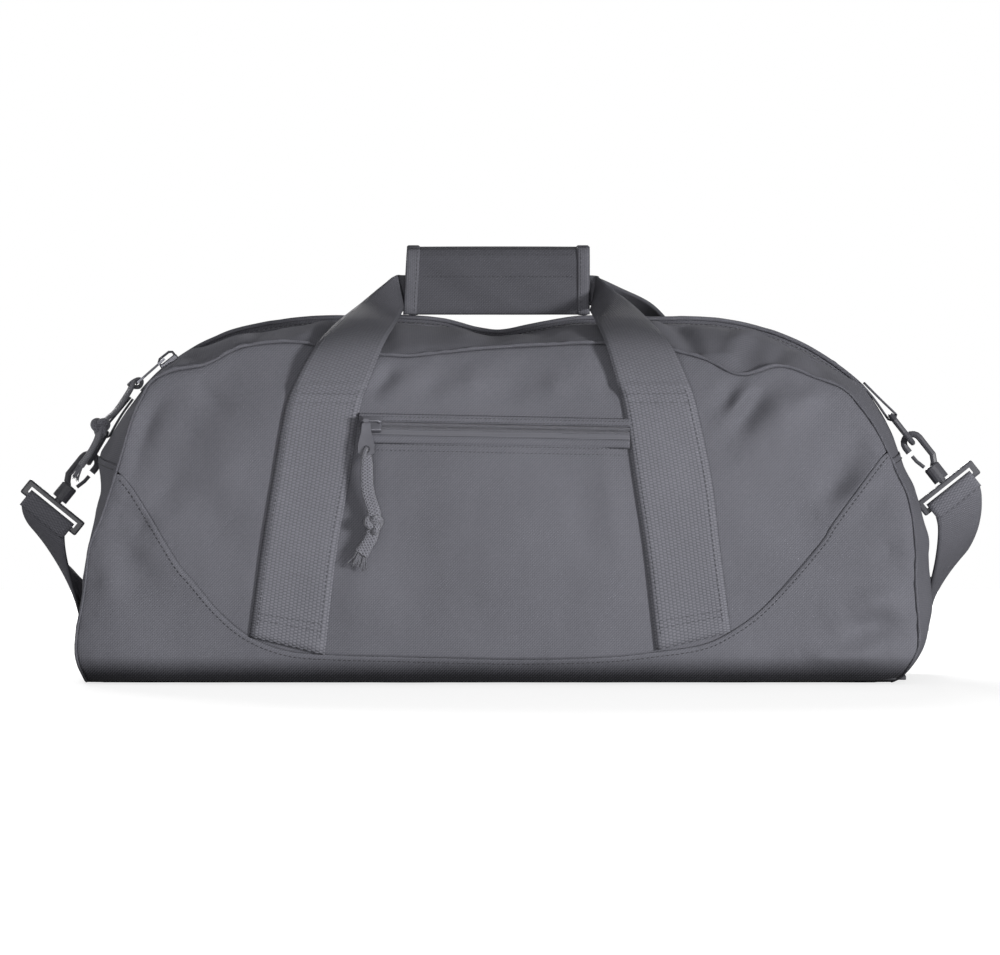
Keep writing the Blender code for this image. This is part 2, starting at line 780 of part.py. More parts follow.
# --- carry handles --------------------------------------------------------------------------
def strap_edges(side, reach):
    """The two edges of a handle strap on the left (side -1) or right (side 1), at the front.

    Each edge is (x, z, stand-off from the panel) where it is sewn, then (x, y, z) where it
    leaves the panel and climbs to the grip. reach widens the back handle a little.
    """
    off = 0.0024
    if side < 0:
        outer = [(-0.1735, 0.0330), (-0.1660, 0.0900), (-0.1570, 0.1500), (-0.1500, 0.1870)]
        inner = [(-0.1225, 0.0215), (-0.1145, 0.0900), (-0.1055, 0.1500), (-0.0990, 0.1870)]
        outer_free = [
            (-0.1430 - reach, -0.1205, 0.2060),
            (-0.1320 - reach, -0.1130, 0.2300),
            (-0.1170 - reach, -0.0850, 0.2460),
            (-0.1000 - reach, -0.0500, 0.2590),
            (-0.0850 - reach / 2, -0.0240, 0.2710),
            (-0.0725, -0.0070, 0.2880),
            (-0.0650, -0.0035, 0.2955),
        ]
        inner_free = [
            (-0.0935 - reach, -0.1205, 0.2060),
            (-0.0830 - reach, -0.1125, 0.2330),
            (-0.0745 - reach, -0.0840, 0.2470),
            (-0.0715 - reach, -0.0480, 0.2520),
            (-0.0700 - reach / 2, -0.0240, 0.2560),
            (-0.0690, -0.0070, 0.2585),
            (-0.0650, -0.0035, 0.2590),
        ]
    else:
        outer = [(0.1555, 0.0360), (0.1485, 0.0900), (0.1412, 0.1500), (0.1335, 0.1870)]
        inner = [(0.1045, 0.0235), (0.0970, 0.0900), (0.0885, 0.1500), (0.0828, 0.1870)]
        outer_free = [
            (0.1285 + reach, -0.1205, 0.2060),
            (0.1170 + reach, -0.1130, 0.2300),
            (0.1040 + reach, -0.0850, 0.2460),
            (0.0900 + reach, -0.0500, 0.2590),
            (0.0770 + reach / 2, -0.0240, 0.2710),
            (0.0665, -0.0070, 0.2880),
            (0.0580, -0.0035, 0.2955),
        ]
        inner_free = [
            (0.0785 + reach, -0.1205, 0.2060),
            (0.0700 + reach, -0.1125, 0.2330),
            (0.0640 + reach, -0.0840, 0.2470),
            (0.0615 + reach, -0.0480, 0.2520),
            (0.0605 + reach / 2, -0.0240, 0.2560),
            (0.0625, -0.0070, 0.2585),
            (0.0580, -0.0035, 0.2590),
        ]
    sewn_outer = [(x, front_y(x, z, off), z) for x, z in outer]
    sewn_inner = [(x, front_y(x, z, off), z) for x, z in inner]
    return sewn_outer + outer_free, sewn_inner + inner_free


def handle(word, flip, reach):
    """One webbing handle: two straps sewn to the bag, and the part that the grip wrap holds."""
    steps = 4
    pieces = []
    for side, hand in ((-1, "left"), (1, "right")):
        outer, inner = strap_edges(side, reach)
        outer = [Vector((p.x, flip * p.y, p.z)) for p in smooth_through(outer, steps)]
        inner = [Vector((p.x, flip * p.y, p.z)) for p in smooth_through(inner, steps)]
        end, start = (round(point * steps) for point in STRAP_SPLIT)
        rows = [[a, (a + b) / 2, b] for a, b in zip(outer, inner)]
        name = f"{word}_handle_strap_{hand}"
        sheet(name, rows[:end], WEB, "webbing", offset=0.0)
        pieces.append(rows[start:])
    across = pieces[0] + pieces[1][::-1]
    return sheet(f"{word}_handle_core", across, WEB, "webbing", offset=0.0, away=(0, 0, 0.2))


def wrap_section(inset):
    """The wrap's rounded cross-section in (y, z), inset from its outer size."""
    half, low, high = GRIP_HALF - inset, GRIP_Z[0] + inset, GRIP_Z[1] - inset
    r = half * 0.82
    points = []
    corners = ((1, high - r, 0), (-1, high - r, 90), (-1, low + r, 180), (1, low + r, 270))
    for sign, z, start in corners:
        for k in range(5):
            a = math.radians(start + 22.5 * k)
            points.append((sign * (half - r) + r * math.cos(a), z + r * math.sin(a)))
    return points


def grip():
    """The padded wrap round both handles, its closing flap and the hook-and-loop strips."""
    xs = spread(GRIP_X[0], GRIP_X[1], 3)
    rows = [[Vector((x, y, z)) for x in xs] for y, z in wrap_section(0.0)]
    middle = sum(GRIP_Z) / 2
    wrap = sheet("grip_wrap", rows, GRIP_PAD, "cloth", (0, 0, middle), closed=True)
    width = GRIP_X[1] - GRIP_X[0]
    centre = sum(GRIP_X) / 2

    def slab(name, y_range, z_range, wide, finish, bevel=0.0):
        size = (wide, y_range[1] - y_range[0], z_range[1] - z_range[0])
        at = Matrix.Translation((centre, sum(y_range) / 2, sum(z_range) / 2))
        return block(name, size, finish, at, bevel)

    loop = slab("wrap_loop_strip", (-0.0102, -0.0098), (0.2610, 0.2780), width - 0.012, "webbing")
    hook = slab("wrap_hook_strip", (-0.0109, -0.0105), (0.2610, 0.2780), width - 0.012, "webbing")
    flap = slab("wrap_flap", FLAP_Y, (0.2545, FLAP_HINGE_Z), width, "cloth", 0.0006)
    cores = [handle("front", 1.0, 0.0), handle("back", -1.0, 0.004)]
    tilt = pivot("handle_pivot", (0, 0, HANDLE_HINGE_Z), [wrap, loop, *cores])
    fold = pivot("flap_pivot", (0, sum(FLAP_Y) / 2, FLAP_HINGE_Z), [flap, hook])
    hang(fold, tilt)


# --- shoulder strap, rings and clips --------------------------------------------------------
def ring_place(sign):
    """The strap ring's bar, the way it hangs, and the way the clip points, on one side."""
    if sign < 0:
        return shoulder(math.radians(27), 0.0047), (-0.500, -0.866), (-0.630, -0.777)
    return shoulder(math.radians(32), 0.0047, 1.0), (0.620, -0.785), (0.620, -0.785)


def ring_tab(sign, hand):
    """The webbing tab that holds the strap ring to the end of the mouth panel."""
    bar = ring_place(sign)[0]
    start = math.atan2(bar.z - SHOULDER_Z, abs(bar.x) - SHOULDER_X)
    middle = Vector((sign * SHOULDER_X, 0, SHOULDER_Z))
    out = (bar - middle).normalized()
    up = Vector((-out.z, 0, out.x)) * -sign
    if up.z < 0:
        up = -up
    wrap = RING_WIRE + 0.0004 + STRAP / 2
    line = [shoulder(start + math.radians(a), 0.0016, sign) for a in (11, 6)]
    for k in range(9):
        a = math.radians(-90 - 22.5 * k)
        line.append(bar + out * (wrap * math.sin(a)) + up * (wrap * math.cos(a)))
    line.append(shoulder(start + math.radians(5), 0.0050, sign))
    line.append(shoulder(start + math.radians(11), 0.0036, sign))
    rows = [[p + Vector((0, y, 0)) for y in (-TAB_HALF, 0.0, TAB_HALF)] for p in line]
    return sheet(f"ring_tab_{hand}", rows, STRAP, "webbing", away=tuple(bar), offset=0.0)


def strap_ring(sign, hand):
    """A D-shaped ring whose straight bar runs through the webbing tab."""
    bar, drop, _ = ring_place(sign)
    down = Vector((drop[0], 0, drop[1])).normalized()
    points = [bar + Vector((0, y, 0)) for y in (-0.0128, 0.0128)]
    for k in range(13):
        a = math.pi * k / 12
        deep = 0.004 + (RING_DEPTH - 0.004) * math.sin(a)
        points.append(bar + down * deep + Vector((0, RING_HALF * math.cos(a), 0)))
    ring = tube(f"strap_ring_{hand}", points, RING_WIRE, "plastic", closed=True)
    return ring, bar + down * RING_DEPTH


def clip(sign, hand):
    """A swivelling snap hook: local x lies across it, z runs from the ring to the strap bar."""
    ring, contact = strap_ring(sign, hand)
    way = ring_place(sign)[2]
    axis = Vector((way[0], 0, way[1])).normalized()
    across = Vector((axis.z, 0, -axis.x))
    if across.x * sign > 0:
        across = -across
    frame = frame_at(contact, across, axis)

    path = [(0.0, 0, 0.0230), (-0.0035, 0, 0.0195), (-HOOK_BEND, 0, 0.0150)]
    for k in range(9):
        a = math.radians(180 + 22.5 * k)
        path.append((HOOK_BEND * math.cos(a), 0, HOOK_BEND * math.sin(a)))
    path.append((HOOK_BEND, 0, 0.0040))
    hook = as_mesh(tube(f"snap_hook_{hand}", path, HOOK_WIRE, "plastic", matrix=frame))
    # the collar is a cup with a lipped mouth that keeps the swivel's head in
    collar = [
        (0.0, 0.0205),
        (0.0050, 0.0205),
        (0.0058, 0.0215),
        (0.0058, 0.0325),
        (0.0032, 0.0325),
        (0.0032, 0.0305),
        (0.0047, 0.0305),
        (0.0047, 0.0240),
        (0.0, 0.0240),
    ]
    cup = turned(f"snap_hook_collar_{hand}", collar[::-1], "plastic", frame)
    hook = join(hook, as_mesh(cup), "UNION")

    gate_path = [(HOOK_BEND, 0, 0.0072), (HOOK_BEND - 0.0002, 0, 0.0120), (0.0042, 0, 0.0185)]
    gate = tube(f"hook_gate_{hand}", gate_path, 0.0013, "plastic", matrix=frame)

    pin = [
        (0.0, 0.0250),
        (0.0041, 0.0250),
        (0.0041, 0.0295),
        (0.0026, 0.0295),
        (0.0026, 0.0352),
        (0.0, 0.0352),
    ]
    base = block(
        f"strap_bar_{hand}",
        (0.0490, 0.0060, 0.0115),
        "plastic",
        frame @ Matrix.Translation((0, 0, HOOK_REACH)),
        0.0012,
    )
    slot = block(
        f"strap_slot_{hand}",
        (0.0405, 0.02, 0.0044),
        None,
        frame @ Matrix.Translation((0, 0, HOOK_REACH)),
        home=CUTTERS,
    )
    join(base, slot, "DIFFERENCE")
    stem = as_mesh(turned(f"swivel_pin_{hand}", pin[::-1], "plastic", frame))
    join(base, stem, "UNION")

    loop_end = strap_end(hand, frame)
    swing = pivot(f"clip_pivot_{hand}", ring_place(sign)[0], [ring, base, loop_end])
    spin = pivot(f"swivel_pivot_{hand}", contact, [hook])
    snap = pivot(f"gate_pivot_{hand}", frame @ Vector(gate_path[-1]), [gate])
    hang(spin, swing)
    hang(snap, spin)


def strap_end(hand, frame):
    """The webbing loop round the strap bar."""
    half_loop = [
        (0.0030, 0.0112),
        (0.0048, 0.0062),
        (0.0050, 0.0040),
        (0.0047, 0.0019),
        (0.0036, 0.0008),
        (0.0020, 0.0004),
    ]
    line = half_loop + [(0.0, 0.0004)] + [(-y, z) for y, z in half_loop[::-1]]
    rows = [
        [frame @ Vector((x, y, HOOK_REACH + z)) for x in (-STRAP_HALF, 0.0, STRAP_HALF)]
        for y, z in line
    ]
    middle = frame @ Vector((0, 0, HOOK_REACH + 0.0040))
    name = f"strap_end_{hand}"
    return sheet(name, rows, STRAP, "webbing", away=tuple(middle), offset=0.0)


def ribbon_rows(knots, half, steps):
    """Rows across a ribbon from (middle point, width direction) pairs."""
    line = smooth_through([k[0] for k in knots], steps)
    wide = smooth_through([k[1] for k in knots], steps)
    return [[p - w.normalized() * half, p, p + w.normalized() * half] for p, w in zip(line, wide)]


def shoulder_strap():
    """The strap itself, from the left clip, down behind the bag and up to the right clip."""
    flat = (0.0, 1.0, 0.0)
    knots = [
        ((-0.3195, 0.0085, 0.1040), (-0.76, 0.05, 0.63)),
        ((-0.3175, 0.0180, 0.0945), (-0.60, -0.10, 0.78)),
        ((-0.3135, 0.0350, 0.0840), (-0.35, -0.25, 0.90)),
        ((-0.3075, 0.0650, 0.0710), (-0.15, -0.30, 0.94)),
        ((-0.3010, 0.1050, 0.0580), (-0.05, -0.25, 0.97)),
        ((-0.2940, 0.1480, 0.0440), (0.05, -0.15, 0.98)),
        ((-0.2700, 0.1760, 0.0330), (0.0, 0.15, 0.98)),
        ((-0.2300, 0.1900, 0.0240), (0.0, 0.45, 0.89)),
        ((-0.1700, 0.1960, 0.0120), (0.0, 0.85, 0.50)),
        ((-0.1000, 0.1960, 0.0022), (0.0, 1.0, 0.05)),
        ((-0.0300, 0.1960, 0.0012), flat),
        ((0.0500, 0.1960, 0.0012), flat),
        ((0.1200, 0.1960, 0.0026), (0.0, 1.0, 0.05)),
        ((0.1850, 0.1960, 0.0130), (0.0, 0.85, 0.50)),
        ((0.2350, 0.1900, 0.0250), (0.0, 0.45, 0.89)),
        ((0.2720, 0.1760, 0.0340), (0.0, 0.15, 0.98)),
        ((0.2960, 0.1480, 0.0450), (-0.05, -0.15, 0.98)),
        ((0.3050, 0.1050, 0.0600), (0.15, -0.30, 0.93)),
        ((0.3120, 0.0650, 0.0760), (0.40, -0.35, 0.82)),
        ((0.3165, 0.0360, 0.0920), (0.62, -0.20, 0.72)),
        ((0.3175, 0.0190, 0.1050), (0.74, -0.05, 0.65)),
        ((0.3170, 0.0085, 0.1165), (0.785, 0.05, 0.62)),
    ]
    rows = ribbon_rows(knots, STRAP_HALF, 2)
    sheet("shoulder_strap", rows, STRAP, "webbing", away=(0, 0, 0.3), offset=0.0)


def strap_adjuster():
    """The three-bar slide on the flat stretch of the strap behind the bag."""
    z = 0.0012 + STRAP / 2 + 0.0011 + 0.0004
    frame = Matrix.Translation((0.0100, 0.1960, z))
    half_x, half_y = 0.0110, 0.0240
    outline = [(-half_x, -half_y), (half_x, -half_y), (half_x, half_y), (-half_x, half_y)]
    slots = []
    for middle in (-0.0048, 0.0048):
        slots.append(
            [
                (middle - 0.0026, -0.0205),
                (middle + 0.0026, -0.0205),
                (middle + 0.0026, 0.0205),
                (middle - 0.0026, 0.0205),
            ]
        )
    item = plate("strap_adjuster", [outline, *slots], 0.0011, "plastic", frame)
    pivot("adjuster_pivot", frame.translation, [item])


# --- the whole bag --------------------------------------------------------------------------
def build():
    """Make every piece of the bag."""
    body_shell()
    main_zip()
    main_slider()
    pocket()
    grip()
    for sign, hand in ((-1, "left"), (1, "right")):
        ring_tab(sign, hand)
        clip(sign, hand)
    shoulder_strap()
    strap_adjuster()


clear_scene()
BAG = collection("duffel_bag")
CUTTERS = collection("cutters")
build()
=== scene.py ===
"""The looks of a soft duffel bag: cloth panels with seams, wrinkles and stitching, webbing
handles with a padded wrap, zips, pull cords, plastic clips and a shoulder strap.

Metres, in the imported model's frame: +X along the bag, +Y to its back, +Z up.
"""

import math

import bmesh
import bpy
import numpy as np
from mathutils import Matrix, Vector, noise


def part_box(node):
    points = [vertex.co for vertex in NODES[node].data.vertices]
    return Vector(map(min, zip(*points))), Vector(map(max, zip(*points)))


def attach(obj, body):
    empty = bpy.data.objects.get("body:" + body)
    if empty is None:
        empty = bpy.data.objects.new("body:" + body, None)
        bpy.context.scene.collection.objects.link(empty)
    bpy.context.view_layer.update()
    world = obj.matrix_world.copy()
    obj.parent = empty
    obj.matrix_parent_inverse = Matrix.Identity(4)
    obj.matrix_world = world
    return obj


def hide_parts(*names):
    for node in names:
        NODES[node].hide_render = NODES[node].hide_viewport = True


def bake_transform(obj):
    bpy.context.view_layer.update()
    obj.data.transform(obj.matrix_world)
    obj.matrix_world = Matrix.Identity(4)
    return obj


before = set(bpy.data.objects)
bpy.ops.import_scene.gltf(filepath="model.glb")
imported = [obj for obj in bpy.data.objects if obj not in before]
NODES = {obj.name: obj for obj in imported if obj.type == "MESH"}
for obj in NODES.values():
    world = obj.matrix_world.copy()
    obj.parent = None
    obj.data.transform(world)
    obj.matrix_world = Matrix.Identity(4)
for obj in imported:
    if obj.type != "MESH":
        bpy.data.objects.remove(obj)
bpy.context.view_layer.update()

# --- driving dimensions ---------------------------------------------------------------------
HALF_DEPTH = 0.140  # of the bag at the floor
LEAN = 0.036  # how far front and back lean in at their top seam
PLAN_CURVE = 0.005  # how far their ends fall back
HALF_LENGTH = 0.290
SEAM_TOP = 0.2315
CLOTH = 0.0009  # thickness
FLOOR_ROLL = 0.025  # radius of the front's and back's rolled bottom edge
SHOULDER_X, SHOULDER_Z, SHOULDER_R = 0.137, 0.100, 0.151  # the round shoulders' arcs
SLIDER_X = -0.0905  # the pocket zip's slider at rest
ZIP_Z = 0.1768  # the pocket zip's height there
ZIP_SLOPE = math.tan(math.radians(1.2))
STRAP_HALF = 0.019  # half width of the shoulder strap
WEB_WIDTH = 0.0508  # of the handle straps
WEB_THICK = 0.0018
STRAP_THICK = 0.0014

# The band round the bag from the left of the floor over the mouth to the right of the floor,
# in millimetres: (x, z) of its middle line, then (x, z) of its seam to the front and back.
BAND = [
    (-288, 1.2, -286, 1.2), (-295.5, 14, -292, 16), (-295.8, 33, -292.5, 33),
    (-290.5, 64, -287, 65), (-286.7, 93, -284, 93), (-282.5, 115, -276.5, 112),
    (-280, 134, -270, 131), (-277, 156.6, -263.5, 152.5), (-267.8, 175.5, -256, 179),
    (-254.3, 195, -248, 197.5), (-243, 207.7, -240.5, 208.5), (-230.8, 218.3, -226, 215),
    (-209.4, 232.5, -205, 219), (-181.8, 243.5, -180, 231), (-140.4, 249.5, -145, 234.5),
    (-105.9, 251.2, -108, 228.5), (-70, 251.2, -70, 224.8), (-42, 248.5, -44, 227),
    (-8, 241.5, -11, 230.2), (25, 246, 25, 232.2), (56, 250.2, 56, 233.6), (94.2, 250.5, 94, 232.2),
    (135.6, 250, 134.9, 224), (163.2, 247.5, 162.5, 212), (195, 238.2, 190, 218),
    (218.4, 226.2, 214.9, 209.8), (239.1, 211.8, 233.6, 202.2), (252.9, 198, 245.3, 189.8),
    (266.7, 174.5, 257.5, 172), (277, 148, 270, 145), (287, 126.3, 278.5, 125),
    (294.3, 93.8, 282.6, 94), (296, 69, 282.6, 69), (295, 42.8, 284.3, 44), (290.8, 23, 284, 24),
    (279, 6, 274.5, 7), (269, 1.2, 266, 1.2),
]
# where the lower panel's curved seam crosses the front, from left to right, in millimetres
BOOT_SEAM = [
    (-268, 150), (-263, 144.5), (-251, 129), (-224, 84.5), (-213, 71), (-193.5, 48.5), (-174, 33),
    (-150, 23.5), (-124, 20.5), (-70, 19), (10, 17.2), (71, 18.8), (106, 22.5), (134.2, 26.8),
    (152.5, 34.5), (173.5, 49), (193.5, 69.5), (217.7, 98), (227, 112.5), (261.2, 158), (270, 164),
]


# --- materials ------------------------------------------------------------------------------
class Nodes:
    """A short way to wire shader nodes."""

    def __init__(self, name, roughness, sheen=0.0, specular=0.28):
        self.material = bpy.data.materials.new(name)
        self.material.use_nodes = True
        self.tree = self.material.node_tree
        self.shader = self.tree.nodes["Principled BSDF"]
        self.shader.inputs["Roughness"].default_value = roughness
        self.shader.inputs["Sheen Weight"].default_value = sheen
        self.shader.inputs["Sheen Roughness"].default_value = 0.4
        self.shader.inputs["Specular IOR Level"].default_value = specular

    def add(self, kind, **settings):
        node = self.tree.nodes.new(kind)
        for key, value in settings.items():
            setattr(node, key, value)
        return node

    def set(self, node, slot, value):
        """Link a socket, or set a number."""
        if isinstance(value, bpy.types.NodeSocket):
            self.tree.links.new(value, node.inputs[slot])
        else:
            node.inputs[slot].default_value = value

    def math(self, operation, a, b=0.0, clamp=False):
        node = self.add("ShaderNodeMath", operation=operation, use_clamp=clamp)
        self.set(node, 0, a)
        self.set(node, 1, b)
        return node.outputs[0]

    def total(self, *terms, clamp=False):
        """The sum of (value, times) pairs. Its last step may clamp it to 0 to 1."""
        out = None
        for k, (value, times) in enumerate(terms):
            part = value if times == 1 else self.math("MULTIPLY", value, times)
            last = k == len(terms) - 1
            out = part if out is None else self.math("ADD", out, part, clamp and last)
        return out

    def ramp(self, value, low, high):
        """0 below low and 1 above high."""
        return self.math("DIVIDE", self.math("SUBTRACT", value, low), high - low, clamp=True)

    def wave(self, place, pitch):
        """A sine of a place, one period to each pitch."""
        return self.math("SINE", self.math("MULTIPLY", place, 2 * math.pi / pitch))

    def places(self, kind):
        """The three numbers of a texture coordinate."""
        split = self.add("ShaderNodeSeparateXYZ")
        self.set(split, 0, self.add("ShaderNodeTexCoord").outputs[kind])
        return split.outputs[:]

    def noise(self, scale, detail=2.0, roughness=0.5):
        """Noise in the object's own metres."""
        node = self.add("ShaderNodeTexNoise")
        self.set(node, "Vector", self.add("ShaderNodeTexCoord").outputs["Object"])
        self.set(node, "Scale", scale)
        self.set(node, "Detail", detail)
        self.set(node, "Roughness", roughness)
        return node.outputs["Fac"]

    def colour(self, factor, low, high):
        """Set the base colour to run between two cool greys as factor runs from 0 to 1."""
        mix = self.add("ShaderNodeMix", data_type="RGBA")
        self.set(mix, "Factor", factor)
        for slot, level in (("A", low), ("B", high)):
            mix.inputs[slot].default_value = (level, level, level * 1.14, 1.0)
        self.tree.links.new(mix.outputs["Result"], self.shader.inputs["Base Color"])

    def bump(self, height, distance, strength=1.0):
        node = self.add("ShaderNodeBump")
        self.set(node, "Height", height)
        self.set(node, "Distance", distance)
        self.set(node, "Strength", strength)
        self.tree.links.new(node.outputs[0], self.shader.inputs["Normal"])


def cloth_material(name, level, kind="UV", pitch=0.00125):
    """Coated plain-weave polyester: a fine slanted grid and soft mottling, with painted shade darkening it
    towards the floor.
    """
    n = Nodes(name, 0.68, sheen=0.03, specular=0.0)
    u, v, w = n.places(kind)
    if kind != "UV":
        v = n.math("ADD", v, w)
    slant = n.math("ADD", n.wave(u, pitch), n.wave(v, pitch))
    twill = n.wave(n.math("SUBTRACT", u, v), pitch * 1.7)
    weave = n.total((slant, 0.18), (twill, 0.30))
    fine = n.noise(420.0)
    shade = n.total((weave, 0.70), (n.noise(9.0, 3.0), 0.80), (fine, 0.35), clamp=True)
    # painted shade: the colour darkens from 19 mm down to 6 mm above the floor, where the cloth rolls under the
    # bag
    painted_shade = n.ramp(n.places("Object")[2], 0.006, 0.019)
    n.colour(n.total((shade, 0.5), (painted_shade, 0.75), (-0.25, 1), clamp=True), level * 0.16, level * 1.20)
    n.bump(n.total((weave, 1), (fine, 0.5)), 0.00012, 0.8)
    return n.material


def webbing_material(name, level, rib=0.0021, column=0.0026, depth=0.0004, cross=0.35, dark=None):
    """Ribbed webbing: dashes across the strap, stepped by half a rib from column to column.

    dark is the height where painted shade starts to darken the strap, and where it is darkest.
    """
    n = Nodes(name, 0.78, specular=0.12)
    u, v, _ = n.places("UV")
    step = n.math("MODULO", n.math("FLOOR", n.math("DIVIDE", u, column)), 2.0)
    ribs = n.math("ABSOLUTE", n.wave(n.total((v, 1), (step, rib / 2)), 2 * rib))
    columns = n.math("ABSOLUTE", n.wave(u, 2 * column))
    weave = n.math("MULTIPLY", n.math("POWER", ribs, 0.6), n.math("POWER", columns, cross))
    shade = n.total((weave, 0.75), (n.noise(300.0), 0.25), (n.noise(14.0), 0.25), clamp=True)
    if dark:
        # painted shade: the strap's colour darkens with height, for the upper straps that lean back from the
        # light
        painted_shade = n.math("SUBTRACT", 1.0, n.math("MULTIPLY", n.ramp(n.places("Object")[2], *dark), 0.8))
        shade = n.math("MULTIPLY", shade, painted_shade)
    n.colour(shade, level * 0.50, level * 1.18)
    n.bump(weave, depth, 0.8)
    return n.material


def tape_material(name, level):
    """The zip's knitted tape: narrow ribs along it."""
    n = Nodes(name, 0.65, sheen=0.1)
    u, v, _ = n.places("UV")
    weave = n.total((n.wave(u, 0.0011), 0.35), (n.wave(v, 0.0009), 0.15))
    n.colour(n.total((weave, 1), (0.5, 1), clamp=True), level * 0.8, level * 1.15)
    n.bump(weave, 0.00012)
    return n.material


def cord_material(name, level):
    """A braid: two crossing spirals round the cord."""
    n = Nodes(name, 0.72, sheen=0.2)
    u, v, _ = n.places("UV")
    around = n.math("MULTIPLY", u, 16 * math.pi)
    along = n.math("MULTIPLY", v, 2 * math.pi / 0.0022)
    one, other = (n.math("SINE", n.math(way, around, along)) for way in ("ADD", "SUBTRACT"))
    weave = n.math("MAXIMUM", one, other)
    n.colour(n.total((weave, 0.4), (0.5, 1), clamp=True), level * 0.6, level * 1.15)
    n.bump(weave, 0.00025)
    return n.material


def hard_material(name, level, roughness, metallic=0.0):
    """Moulded plastic or dark coated metal with a fine grain and scuffs."""
    n = Nodes(name, roughness)
    n.shader.inputs["Metallic"].default_value = metallic
    scuff = n.noise(70.0, 4.0, 0.65)
    n.colour(scuff, level * 0.8, level * 1.25)
    n.set(n.shader, "Roughness", n.total((scuff, 0.25), (roughness - 0.12, 1)))
    n.bump(n.noise(900.0, 3.0), 0.00006, 0.5)
    return n.material


CLOTH_MAT = cloth_material("body_cloth", 0.112)
PAD_MAT = cloth_material("wrap_cloth", 0.072, "Object")
LINING_MAT = cloth_material("base_cloth", 0.050)
FLAP_MAT = cloth_material("flap_cloth", 0.068)
FUZZ_MAT = cloth_material("hook_and_loop", 0.050, "Object")
# the handles' straps get painted shade from 195 mm up, darkest from 245 mm
WEB_MAT = webbing_material("handle_webbing", 0.130, dark=(0.195, 0.245))
STRAP_MAT = webbing_material("strap_webbing", 0.115, 0.0019, 0.0024, 0.0004, 0.06)
BINDING_MAT = webbing_material("binding_tape", 0.098, 0.0011, 0.0014, 0.0002)
TAPE_MAT = tape_material("zip_tape", 0.112)
COIL_MAT = hard_material("zip_coil", 0.105, 0.42)
THREAD_MAT = hard_material("thread", 0.045, 0.7)
PALE_THREAD_MAT = hard_material("webbing_thread", 0.085, 0.7)
PLASTIC_MAT = hard_material("moulded_plastic", 0.060, 0.42)
METAL_MAT = hard_material("coated_metal", 0.120, 0.36, 0.35)
BOARD_MAT = hard_material("base_board", 0.040, 0.6)
CORD_MAT = cord_material("braided_cord", 0.150)


# --- mesh helpers ---------------------------------------------------------------------------
def catmull(knots, steps):
    """Points on a Catmull-Rom curve through rows of numbers, steps to each span."""
    k = np.asarray(knots, float)
    k = np.vstack([2 * k[0] - k[1], k, 2 * k[-1] - k[-2]])
    t = (np.arange(steps) / steps)[:, None]
    out = []
    for a, b, c, d in zip(k, k[1:], k[2:], k[3:]):
        bend = (2 * a - 5 * b + 4 * c - d) * t**2 + (3 * b - a - 3 * c + d) * t**3
        out.append(0.5 * (2 * b + (c - a) * t + bend))
    return np.vstack(out + [k[-2:-1]])


def spans(points):
    return np.linalg.norm(np.diff(np.asarray(points, float), axis=0), axis=1)


def line_length(points):
    return float(spans(points).sum())


def run(points):
    """How far along a line each of its points is."""
    return np.concatenate([[0], np.cumsum(spans(points))])


def evenly(points, count):
    """The same line with count evenly spaced points."""
    points = np.asarray(points, float)
    far = run(points)
    at = np.linspace(0, far[-1], count)
    return np.stack([np.interp(at, far, column) for column in points.T], 1)


def unit(rows):
    """The same directions, each one long."""
    return rows / np.maximum(np.linalg.norm(rows, axis=-1, keepdims=True), 1e-9)


def ease(share):
    """Smooth a share from 0 to 1."""
    return share * share * (3 - 2 * share)


def make_mesh(name, points, faces, material, uv=None):
    """A mesh object, with UVs in metres when given one per point."""
    mesh = bpy.data.meshes.new(name)
    mesh.from_pydata([tuple(p) for p in points], [], faces)
    if uv is not None:
        layer = mesh.uv_layers.new(name="cloth")
        corner = np.zeros(len(mesh.loops), int)
        mesh.loops.foreach_get("vertex_index", corner)
        layer.data.foreach_set("uv", np.asarray(uv, float)[corner].ravel())
    mesh.shade_smooth()
    mesh.materials.append(material)
    item = bpy.data.objects.new(name, mesh)
    bpy.context.scene.collection.objects.link(item)
    return item


def grid_faces(rows, columns, closed_rows=False, closed_columns=False):
    faces = []
    for i in range(rows if closed_rows else rows - 1):
        for j in range(columns if closed_columns else columns - 1):
            a, b = i * columns, ((i + 1) % rows) * columns
            k = (j + 1) % columns
            faces.append((a + j, a + k, b + k, b + j))
    return faces


def bead_faces(base, rings, sides):
    """The faces of a closed-ended tube whose points start at base."""
    faces = [tuple(base + k for k in face) for face in grid_faces(rings, sides, closed_columns=True)]
    last = base + (rings - 1) * sides
    return faces + [tuple(range(base, base + sides))[::-1], tuple(range(last, last + sides))]


def grid_piece(name, grid, material, uv=None, closed=False):
    """A sheet through a grid of points, shaped (rows, columns, 3)."""
    faces = grid_faces(*grid.shape[:2], closed_columns=closed)
    return make_mesh(name, grid.reshape(-1, 3), faces, material, None if uv is None else uv.reshape(-1, 2))


def apply_all(item):
    """Apply an object's modifiers to its mesh."""
    graph = bpy.context.evaluated_depsgraph_get()
    made = bpy.data.meshes.new_from_object(item.evaluated_get(graph))
    item.modifiers.clear()
    item.data = made


def outward(item, centre=(0, 0, 0.11)):
    """Turn a sheet's faces away from a point."""
    mesh = item.data
    normals, centres = np.zeros((2, len(mesh.polygons) * 3))
    mesh.polygons.foreach_get("normal", normals)
    mesh.polygons.foreach_get("center", centres)
    away = (centres.reshape(-1, 3) - np.array(centre)) * normals.reshape(-1, 3)
    if away.sum() < 0:
        mesh.flip_normals()


def thicken(item, thickness, offset=-1.0):
    """Thickness inward, or to both sides when offset is 0."""
    solid = item.modifiers.new("thickness", "SOLIDIFY")
    solid.thickness = thickness
    solid.offset = offset
    solid.use_even_offset = False
    apply_all(item)


